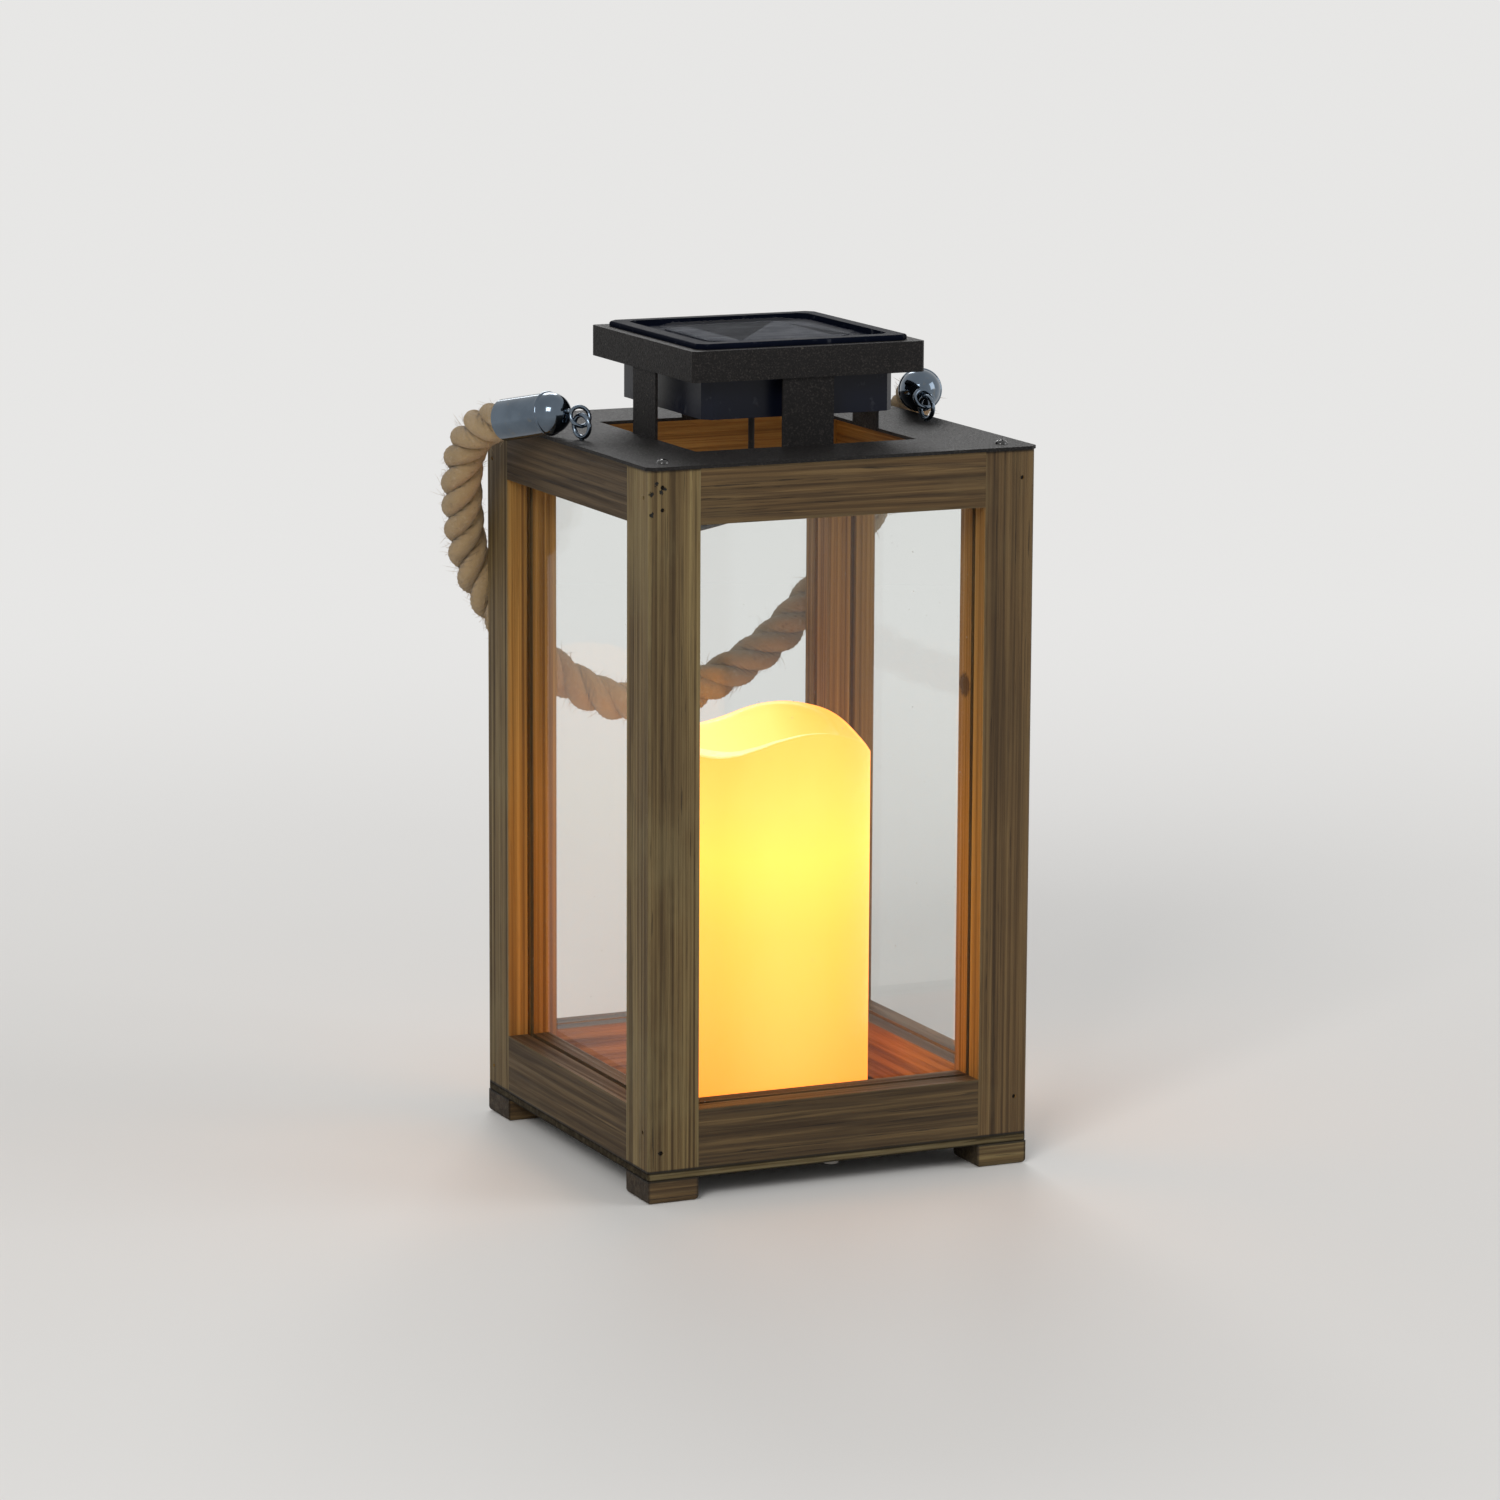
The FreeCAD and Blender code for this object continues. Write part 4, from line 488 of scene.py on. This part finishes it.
def see_through(name, tint, haze, dust_tone, speck, seed, shine=1.0):
    """Clear sheet: what is behind it, the shine that Fresnel gives, and a little dust."""
    g = Graph(name)
    clear = g.tree.nodes.new("ShaderNodeBsdfTransparent")
    clear.inputs["Color"].default_value = (*tint, 1.0)
    gloss = g.tree.nodes.new("ShaderNodeBsdfGlossy")
    gloss.inputs["Color"].default_value = (1.0, 1.0, 1.0, 1.0)
    smear = g.noise(g.shifted((22, 22, 7), (seed, seed * 0.7, 0)), 1.0, 4.0, 0.6)
    g.link(g.remap(smear, 0.35, 0.75, 0.01, 0.07), gloss.inputs["Roughness"])
    turned = g.tree.nodes.new("ShaderNodeLayerWeight")
    turned.inputs["Blend"].default_value = 0.5
    edge_on = g.math("POWER", turned.outputs["Facing"], 5.0)
    film = g.tree.nodes.new("ShaderNodeMixShader")
    g.link(g.remap(edge_on, 0.0, 1.0, 0.04 * shine, shine, smooth=False), film.inputs[0])
    g.link(clear.outputs[0], film.inputs[1])
    g.link(gloss.outputs[0], film.inputs[2])
    fleck = g.remap(g.noise(g.shifted((1, 1, 1), (seed, 0.3, 0.8)), 620.0, 2.0), 0.765, 0.79, 0.0, speck)
    dust = g.math("ADD", fleck, g.remap(smear, 0.3, 0.8, haze * 0.3, haze), clamp=True)
    g.set(Base_Color=g.mix(g.remap(smear, 0.3, 0.7), dust_tone, [value * 0.92 for value in dust_tone]))
    g.set(Roughness=g.remap(smear, 0.3, 0.7, 0.7, 0.9))
    whole = g.tree.nodes.new("ShaderNodeMixShader")
    g.link(dust, whole.inputs[0])
    g.link(film.outputs[0], whole.inputs[1])
    g.link(g.shader.outputs[0], whole.inputs[2])
    g.link(whole.outputs[0], g.output.inputs["Surface"])
    return g.material


for number, side in enumerate(("front", "right", "back", "left")):
    give(see_through("glass_" + side, (0.965, 0.972, 0.968), 0.01, (206, 200, 188), 0.55, number + 1.3, 0.55),
         "glass_" + side)
give(see_through("clear_window", (0.93, 0.94, 0.96), 0.015, (60, 64, 74), 0.2, 7.7, 0.05), "cell_window")


# ---------------------------------------------------------------- candle
RIM_DROP = ((0, 8.0), (17, 3.1), (27, 1.0), (40, -0.2), (51, -0.4), (62, 0.7), (71, 2.5), (81, 5.1), (92, 7.0),
            (104, 7.6), (120, 6.0), (138, 2.4), (155, 0.2), (170, 0.0), (186, 1.8), (203, 4.8), (220, 6.4),
            (228, 6.4), (237, 5.4), (246, 3.3), (258, 0.3), (270, -1.5), (280, -1.6), (290, -0.7), (302, 1.6),
            (316, 5.2), (326, 8.2), (336, 10.2), (346, 10.2), (360, 8.0))


def wax():
    """Lit wax: brightest above the lamps and deeper yellow towards the foot; in the bowl, painted shade deepens it to
    orange towards the right rim.
    """
    g = Graph("wax")
    place = g.split(g.position)
    mottle = g.noise(g.shifted((1, 1, 0.45)), 32.0, 4.0, 0.6)
    fine = g.noise(g.position, 420.0, 3.0, 0.6)
    tall = g.math("ADD", place[2], g.math("MULTIPLY", g.math("SUBTRACT", mottle, 0.5), 0.012))
    wall = g.ramp(g.remap(tall, 0.0115, 0.157, smooth=False),
                  (0.0, (255, 134, 40)), (0.25, (255, 146, 44)), (0.5, (255, 160, 48)),
                  (0.7, (255, 180, 58)), (0.84, (255, 170, 62)), (1.0, (255, 154, 52)))
    reach = g.tree.nodes.new("ShaderNodeVectorMath")
    reach.operation = "LENGTH"
    g.link(g.shifted((1, 1, 0)), reach.inputs[0])
    bowl = g.remap(reach.outputs["Value"], 0.0409, 0.0398, 0.0, 1.0)
    # Painted shade: the melted bowl goes from pale on the left to deeper orange at the right rim.
    pool = g.ramp(g.remap(place[0], -0.01, 0.04), (0.0, (255, 184, 108)), (0.6, (255, 180, 92)), (1.0, (255, 146, 44)))
    glow = g.mix(g.math("MULTIPLY", bowl, g.remap(place[2], 0.13, 0.134)), wall, pool)
    g.set(Base_Color=g.mix(g.remap(mottle, 0.3, 0.7), (206, 158, 90), (198, 148, 80)))
    g.set(Roughness=g.remap(fine, 0.3, 0.7, 0.38, 0.52), Specular_IOR_Level=0.4)
    g.set(Emission_Color=glow, Emission_Strength=1.9)
    g.set(Normal=g.bump(g.math("ADD", mottle, g.math("MULTIPLY", fine, 0.06)), 0.0006, 0.6))
    return g.material


def rim_drop(degrees):
    """How far the melted rim dips under the candle's full height, on a smooth closed curve."""
    inner = RIM_DROP[:-1]
    wrapped = [(inner[-1][0] - 360, inner[-1][1]), *RIM_DROP, (inner[1][0] + 360, inner[1][1])]
    place = max(k for k in range(1, len(wrapped) - 2) if wrapped[k][0] <= degrees)
    (xa, ya), (x0, y0), (x1, y1), (xb, yb) = wrapped[place - 1:place + 3]
    span = x1 - x0
    slope0, slope1 = (y1 - ya) / (x1 - xa) * span, (yb - y0) / (xb - x0) * span
    t = (degrees - x0) / span
    return ((2 * t ** 3 - 3 * t ** 2 + 1) * y0 + (t ** 3 - 2 * t ** 2 + t) * slope0
            + (3 * t ** 2 - 2 * t ** 3) * y1 + (t ** 3 - t ** 2) * slope1)


def candle():
    """The shell as one closed skin: outer wall, soft wavy rim, melted bowl and the hollow under it."""
    low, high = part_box("candle_shell")
    radius = (high.x - low.x) / 2
    base = low.z
    top = base + 145.0 * MM
    turns, lip, blend = 144, 1.1 * MM, 1.2 * MM
    bowl_floor, roof = top - 22.0 * MM, top - 26.0 * MM
    dish = (36.0 ** 2 + 22.0 ** 2) / 44.0 * MM

    vertices = []
    for step in range(turns):
        angle = 2 * math.pi * step / turns
        c, s = math.cos(angle), math.sin(angle)
        drop = rim_drop(math.degrees(angle)) * MM
        edge = top - drop
        column = [(radius, base)] + [(radius, base + up * MM) for up in (2, 20, 40, 60, 80, 100, 114)]
        column += [(radius, edge - 6 * MM), (radius, edge - 3 * MM)]
        for tilt in np.radians((0, 15, 30, 45, 60, 75, 90)):
            column.append((radius - lip * (1 - math.cos(tilt)), edge - lip * (1 - math.sin(tilt))))
        for share in (0.98, 0.95, 0.92, 0.88, 0.84, 0.8, 0.72, 0.6, 0.45, 0.3, 0.15):
            reach = (radius - lip) * share
            flat = top - drop * reach / radius
            deep = bowl_floor + dish - math.sqrt(max(dish ** 2 - reach ** 2, 0.0))
            column.append((reach, 0.5 * (flat + deep - math.hypot(flat - deep, blend))))
        vertices += [(c * r, s * r, z) for r, z in column]
    rows = len(column)
    bottom = len(vertices)
    vertices.append((0, 0, bowl_floor))
    faces = []
    for step in range(turns):
        here, there = step * rows, (step + 1) % turns * rows
        for row in range(rows - 1):
            faces.append((here + row, there + row, there + row + 1, here + row + 1))
        faces.append((here + rows - 1, there + rows - 1, bottom))
    inner = len(vertices)
    wall = radius - 3.0 * MM
    for step in range(turns):
        angle = 2 * math.pi * step / turns
        vertices.append((wall * math.cos(angle), wall * math.sin(angle), base))
        vertices.append((wall * math.cos(angle), wall * math.sin(angle), roof))
    vertices.append((0, 0, roof))
    for step in range(turns):
        here, there = inner + 2 * step, inner + 2 * ((step + 1) % turns)
        faces.append((here, here + 1, there + 1, there))
        faces.append((here + 1, len(vertices) - 1, there + 1))
        faces.append((step * rows, here, there, (step + 1) % turns * rows))
    piece = add_mesh("candle", vertices, faces, wax())
    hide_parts("candle_shell")
    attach(piece, "lantern")


candle()


# ---------------------------------------------------------------- rope handle
ROPE_ROUTE = (
    (-78.43, 14.85, 271.47), (-88.38, 36.95, 266.72), (-90.0, 50.0, 261.7), (-90.2, 60.2, 251.7),
    (-88.4, 67.3, 239.3), (-85.0, 73.8, 226.5), (-80.7, 81.0, 213.0), (-73.2, 85.0, 198.0),
    (-62.5, 86.0, 183.0), (-50.0, 86.0, 169.8), (-36.0, 85.6, 158.6), (-20.0, 85.2, 151.0),
    (-3.0, 85.0, 148.4), (14.0, 85.2, 153.2), (32.5, 85.6, 160.8), (49.0, 86.0, 171.2),
    (62.5, 86.0, 184.8), (73.2, 84.8, 199.0), (81.2, 80.8, 213.5), (86.0, 75.2, 227.6),
    (88.9, 68.6, 240.8), (89.3, 61.0, 253.4), (87.4, 51.2, 263.2), (84.48, 39.26, 269.20),
    (74.28, 17.06, 272.86),
)
LAY = 34.0 * MM
FERRULE_COVER = 18.0 * MM


def spline_line(route, step):
    """Points a step apart along the smooth curve that a route's points steer."""
    curve = bpy.data.curves.new("line", "CURVE")
    curve.dimensions = "3D"
    curve.resolution_u = 24
    spline = curve.splines.new("NURBS")
    spline.points.add(len(route) - 1)
    for point, place in zip(spline.points, route):
        point.co = (*(value * MM for value in place), 1.0)
    spline.order_u = 3
    spline.use_endpoint_u = True
    holder = bpy.data.objects.new("line", curve)
    mesh = bpy.data.meshes.new_from_object(holder)
    found = np.array([vertex.co for vertex in mesh.vertices], float)
    bpy.data.meshes.remove(mesh)
    bpy.data.objects.remove(holder)
    bpy.data.curves.remove(curve)
    gone = np.concatenate([[0.0], np.cumsum(np.linalg.norm(np.diff(found, axis=0), axis=1))])
    count = int(round(gone[-1] / step)) + 1
    along = np.linspace(0.0, gone[-1], count)
    return np.stack([np.interp(along, gone, found[:, axis]) for axis in range(3)], axis=1), along


def unit(rows):
    return rows / np.linalg.norm(rows, axis=-1, keepdims=True)


def frames(line):
    """Tangents, and two directions across the line that don't twist about it."""
    tangent = unit(np.gradient(line, axis=0))
    for _ in range(3):
        tangent[1:-1] = unit(tangent[:-2] + 2 * tangent[1:-1] + tangent[2:])
    first = np.cross(tangent[0], (0.0, 0.0, 1.0))
    side = np.zeros_like(line)
    side[0] = first / np.linalg.norm(first)
    for place in range(1, len(line)):
        across = side[place - 1] - tangent[place] * side[place - 1].dot(tangent[place])
        side[place] = across / np.linalg.norm(across)
    return tangent, side, np.cross(tangent, side)


def jute(name, fibre):
    """Dry jute: bundled fibres that run along the yarns, with painted shade in the creases, pale where rubbed."""
    g = Graph(name)
    along = g.tree.nodes.new("ShaderNodeUVMap")
    along.uv_map = "lay"
    crest = g.tree.nodes.new("ShaderNodeAttribute")
    crest.attribute_name = "crest"
    thread = g.noise(g.shifted((160.0, 46.0, 1.0), (0, 0, 0), along.outputs[0]), 1.0, 4.0, 0.65, 0.4)
    tuft = g.noise(g.position, 520.0, 4.0, 0.65)
    patch = g.noise(g.position, 75.0, 4.0, 0.6)
    base = g.ramp(thread, (0.28, (132, 104, 66)), (0.5, (184, 152, 104)), (0.74, (222, 196, 150)))
    base = g.mix(g.remap(patch, 0.36, 0.7, 0.0, 0.5), base, (160, 136, 96))
    base = g.mix(g.remap(tuft, 0.56, 0.72, 0.0, 0.45), base, (214, 197, 166))
    base = g.mix(g.remap(tuft, 0.42, 0.28, 0.0, 0.55), base, (92, 71, 46))
    # Painted shade: darker towards the creases where the strands meet, by the crest attribute.
    if not fibre:
        base = g.mix(g.remap(crest.outputs["Fac"], 0.66, 0.2, 0.0, 0.9), base, (58, 43, 27))
    g.set(Base_Color=base, Roughness=g.remap(tuft, 0.3, 0.7, 0.78, 0.95), Specular_IOR_Level=0.2)
    g.set(Sheen_Weight=0.35, Sheen_Roughness=0.5)
    g.set(Normal=g.bump(g.math("ADD", thread, g.math("MULTIPLY", tuft, 0.7)), 0.0006, 0.9))
    return g.material


def rope():
    """Three strands laid right-handed, each a bundle of yarns twisted the other way."""
    line, along = spline_line(ROPE_ROUTE, 0.7 * MM)
    length = along[-1]
    tangent, side, other = frames(line)
    from_end = np.minimum(along, length - along)
    open_share = np.clip((from_end - FERRULE_COVER) / (7 * MM), 0, 1)
    open_share = open_share * open_share * (3 - 2 * open_share)
    around, yarns = 40, 9
    psi = np.linspace(0, 2 * math.pi, around, endpoint=False)
    vertices, faces, lay, crest = [], [], [], []
    for strand in range(3):
        wander = np.array([noise.noise(Vector((value * 38, strand * 7.1, 0.3))) for value in along])
        turn = 2 * math.pi * (along / LAY + strand / 3) + 0.28 * wander
        outward = np.cos(turn)[:, None] * side + np.sin(turn)[:, None] * other
        offset = (3.42 + 0.40 * open_share) * MM
        middle = line + outward * offset[:, None]
        way = unit(np.gradient(middle, axis=0))
        out = unit(outward - way * (outward * way).sum(1)[:, None])
        cross = np.cross(way, out)
        swell = np.array([noise.noise(Vector((value * 95, strand * 3.7, 5.1))) for value in along])
        thick = (3.46 + (0.42 + 0.22 * swell) * open_share) * MM
        start = len(vertices)
        for row in range(len(line)):
            twist = psi - 2 * math.pi * along[row] / (25 * MM)
            ridge = np.abs(np.cos(yarns / 2 * twist + 0.5 * wander[row])) ** 0.7
            fuzz = np.array([noise.noise(Vector((along[row] * 900, math.cos(p) * 5, math.sin(p) * 5 + strand * 9)))
                             for p in psi])
            reach = thick[row] * (1 - 0.085 * (1 - ridge)) + fuzz * 0.10 * MM * open_share[row]
            ring = (middle[row] + np.cos(psi)[:, None] * out[row] * reach[:, None]
                    + np.sin(psi)[:, None] * cross[row] * reach[:, None])
            vertices += list(ring)
            # crest: 1 on a strand's outer side and 0 in the creases, where the jute finish paints shade.
            crest += list(np.clip(0.5 + 0.5 * np.cos(psi), 0, 1) * (0.55 + 0.45 * ridge))
            lay += [(along[row] / MM / 34, yarns * value / (2 * math.pi) + strand * 11) for value in twist]
        for row in range(len(line) - 1):
            for spoke in range(around):
                onward = (spoke + 1) % around
                here, there = start + row * around, start + (row + 1) * around
                faces.append((here + spoke, here + onward, there + onward, there + spoke))
        faces.append([start + spoke for spoke in reversed(range(around))])
        faces.append([start + (len(line) - 1) * around + spoke for spoke in range(around)])
    piece = add_mesh("rope", vertices, faces, jute("jute", False))
    layer = piece.data.uv_layers.new(name="lay")
    seams = [lay[loop.vertex_index] for loop in piece.data.loops]
    layer.data.foreach_set("uv", np.array(seams, np.float32).ravel())
    height = piece.data.attributes.new("crest", "FLOAT", "POINT")
    height.data.foreach_set("value", np.array(crest, np.float32))
    fibres = rope_fibres(line, along, tangent, side, other, length)
    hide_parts("handle_rope")
    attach(piece, "handle")
    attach(fibres, "handle")


def rope_fibres(line, along, tangent, side, other, length):
    """Loose fibre ends that stand off the strands, each a thin bent spike."""
    chance = random.Random(7)
    vertices, faces = [], []
    for _ in range(2600):
        spot = chance.uniform(FERRULE_COVER + 2 * MM, length - FERRULE_COVER - 2 * MM)
        row = min(int(np.searchsorted(along, spot)), len(line) - 1)
        angle = chance.uniform(0, 2 * math.pi)
        out = math.cos(angle) * side[row] + math.sin(angle) * other[row]
        cross = np.cross(tangent[row], out)
        heading = unit(tangent[row] * chance.uniform(-1, 1) + cross * chance.uniform(-0.9, 0.9)
                       + out * chance.uniform(0.1, 0.75))
        bend = unit(tangent[row] * chance.uniform(-1, 1) + out * chance.uniform(-0.6, 0.5))
        reach = chance.uniform(1.6, 5.2) * MM
        root = line[row] + out * 6.3 * MM
        thick = chance.uniform(0.06, 0.11) * MM
        start = len(vertices)
        for knot in range(4):
            share = knot / 4
            spine = root + heading * reach * share + bend * reach * 0.45 * share ** 2
            for corner in range(3):
                turn = 2 * math.pi * corner / 3
                away = math.cos(turn) * cross + math.sin(turn) * np.cross(heading, cross)
                vertices.append(spine + away * thick * (1 - 0.5 * share))
        vertices.append(root + heading * reach + bend * reach * 0.45)
        for knot in range(3):
            for corner in range(3):
                here, there = start + 3 * knot, start + 3 * knot + 3
                onward = (corner + 1) % 3
                faces.append((here + corner, here + onward, there + onward, there + corner))
        for corner in range(3):
            faces.append((start + 9 + corner, start + 9 + (corner + 1) % 3, start + 12))
        faces.append((start + 2, start + 1, start))
    return add_mesh("rope_fibres", vertices, faces, jute("jute_fibre", True))


rope()


# ---------------------------------------------------------------- lead
def lead_top():
    """The lead's upper end, as a fixed cylinder; on the lantern it lengthens as the solar unit is lifted out."""
    low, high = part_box("lead_upper")
    centre = (low + high) / 2
    radius = (high.x - low.x) / 2
    around, rows = 24, 12
    vertices, faces = [], []
    for row in range(rows + 1):
        z = low.z + (high.z - low.z) * row / rows
        for spoke in range(around):
            turn = 2 * math.pi * spoke / around
            vertices.append((centre.x + radius * math.cos(turn), centre.y + radius * math.sin(turn), z))
    for row in range(rows):
        for spoke in range(around):
            here, onward = row * around, (spoke + 1) % around
            faces.append((here + spoke, here + onward, here + around + onward, here + around + spoke))
    faces.append(list(reversed(range(around))))
    faces.append([rows * around + spoke for spoke in range(around)])
    piece = add_mesh("lead_top", vertices, faces, rubber)
    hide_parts("lead_upper")
    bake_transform(piece)


lead_top()


def led_finish():
    """Domed amber lamps that glow."""
    g = Graph("led")
    swirl = g.noise(g.position, 600.0, 3.0)
    g.set(Base_Color=g.mix(g.remap(swirl, 0.3, 0.7), (255, 214, 130), (250, 196, 104)))
    g.set(Roughness=g.remap(swirl, 0.3, 0.7, 0.1, 0.22))
    g.set(Emission_Color=g.mix(g.remap(swirl, 0.3, 0.7), (255, 190, 80), (255, 214, 120)), Emission_Strength=2.0)
    g.set(Normal=g.bump(swirl, 0.00004, 0.5))
    return g.material


give(led_finish(), "led_lamps")


# ---------------------------------------------------------------- studio
def floor():
    g = Graph("floor")
    cloud = g.noise(g.position, 1.2, 3.0)
    g.set(Base_Color=g.mix(g.remap(cloud, 0.3, 0.7), (232, 231, 229), (229, 228, 226)))
    g.set(Roughness=0.85, Specular_IOR_Level=0.2)
    turns, radius = 96, 24.0
    path = g.tree.nodes.new("ShaderNodeLightPath")
    seen = g.math("MAXIMUM", path.outputs["Is Camera Ray"], path.outputs["Is Transmission Ray"])
    seen = g.math("MAXIMUM", seen, path.outputs["Is Glossy Ray"])
    reach = g.tree.nodes.new("ShaderNodeVectorMath")
    reach.operation = "LENGTH"
    g.link(g.position, reach.inputs[0])
    backdrop = g.tree.nodes.new("ShaderNodeEmission")
    backdrop.inputs["Color"].default_value = (0.8, 0.795, 0.785, 1.0)
    blend = g.tree.nodes.new("ShaderNodeMixShader")
    g.link(g.math("MULTIPLY", seen, g.remap(reach.outputs["Value"], 0.3, 1.3)), blend.inputs[0])
    g.link(g.shader.outputs[0], blend.inputs[1])
    g.link(backdrop.outputs[0], blend.inputs[2])
    g.link(blend.outputs[0], g.output.inputs["Surface"])
    ring = [(radius * math.cos(2 * math.pi * k / turns), radius * math.sin(2 * math.pi * k / turns), 0.0)
            for k in range(turns)]
    piece = add_mesh("floor", ring, [range(turns)], g.material)


def lamp(name, place, aim, width, power, tone):
    data = bpy.data.lights.new(name, "AREA")
    data.shape = "SQUARE"
    data.size = width
    data.energy = power
    data.color = tone
    piece = bpy.data.objects.new(name, data)
    bpy.context.scene.collection.objects.link(piece)
    piece.location = place
    piece.rotation_euler = (Vector(aim) - Vector(place)).to_track_quat("-Z", "Y").to_euler()


def world():
    scene_world = bpy.data.worlds.new("studio")
    bpy.context.scene.world = scene_world
    scene_world.use_nodes = True
    tree = scene_world.node_tree
    tree.nodes.clear()
    output = tree.nodes.new("ShaderNodeOutputWorld")
    light = tree.nodes.new("ShaderNodeBackground")
    light.inputs["Color"].default_value = (1.0, 1.0, 1.0, 1.0)
    light.inputs["Strength"].default_value = 0.42
    white = tree.nodes.new("ShaderNodeBackground")
    white.inputs["Color"].default_value = (0.8, 0.795, 0.785, 1.0)
    path = tree.nodes.new("ShaderNodeLightPath")
    first = tree.nodes.new("ShaderNodeMath")
    first.operation = "MAXIMUM"
    tree.links.new(path.outputs["Is Camera Ray"], first.inputs[0])
    tree.links.new(path.outputs["Is Transmission Ray"], first.inputs[1])
    second = tree.nodes.new("ShaderNodeMath")
    second.operation = "MAXIMUM"
    tree.links.new(first.outputs[0], second.inputs[0])
    tree.links.new(path.outputs["Is Glossy Ray"], second.inputs[1])
    mix = tree.nodes.new("ShaderNodeMixShader")
    tree.links.new(second.outputs[0], mix.inputs[0])
    tree.links.new(light.outputs[0], mix.inputs[1])
    tree.links.new(white.outputs[0], mix.inputs[2])
    tree.links.new(mix.outputs[0], output.inputs[0])


floor()
lamp("key", (-1.5, -1.6, 1.5), (0, 0, 0.15), 0.9, 26.0, (1.0, 0.985, 0.965))
lamp("fill", (1.9, -1.2, 1.0), (0, 0, 0.15), 1.2, 11.0, (0.97, 0.985, 1.0))
lamp("rim", (0.6, 1.8, 1.4), (0, 0, 0.2), 0.9, 14.0, (1.0, 1.0, 1.0))
world()
bpy.context.scene.view_settings.view_transform = "Standard"
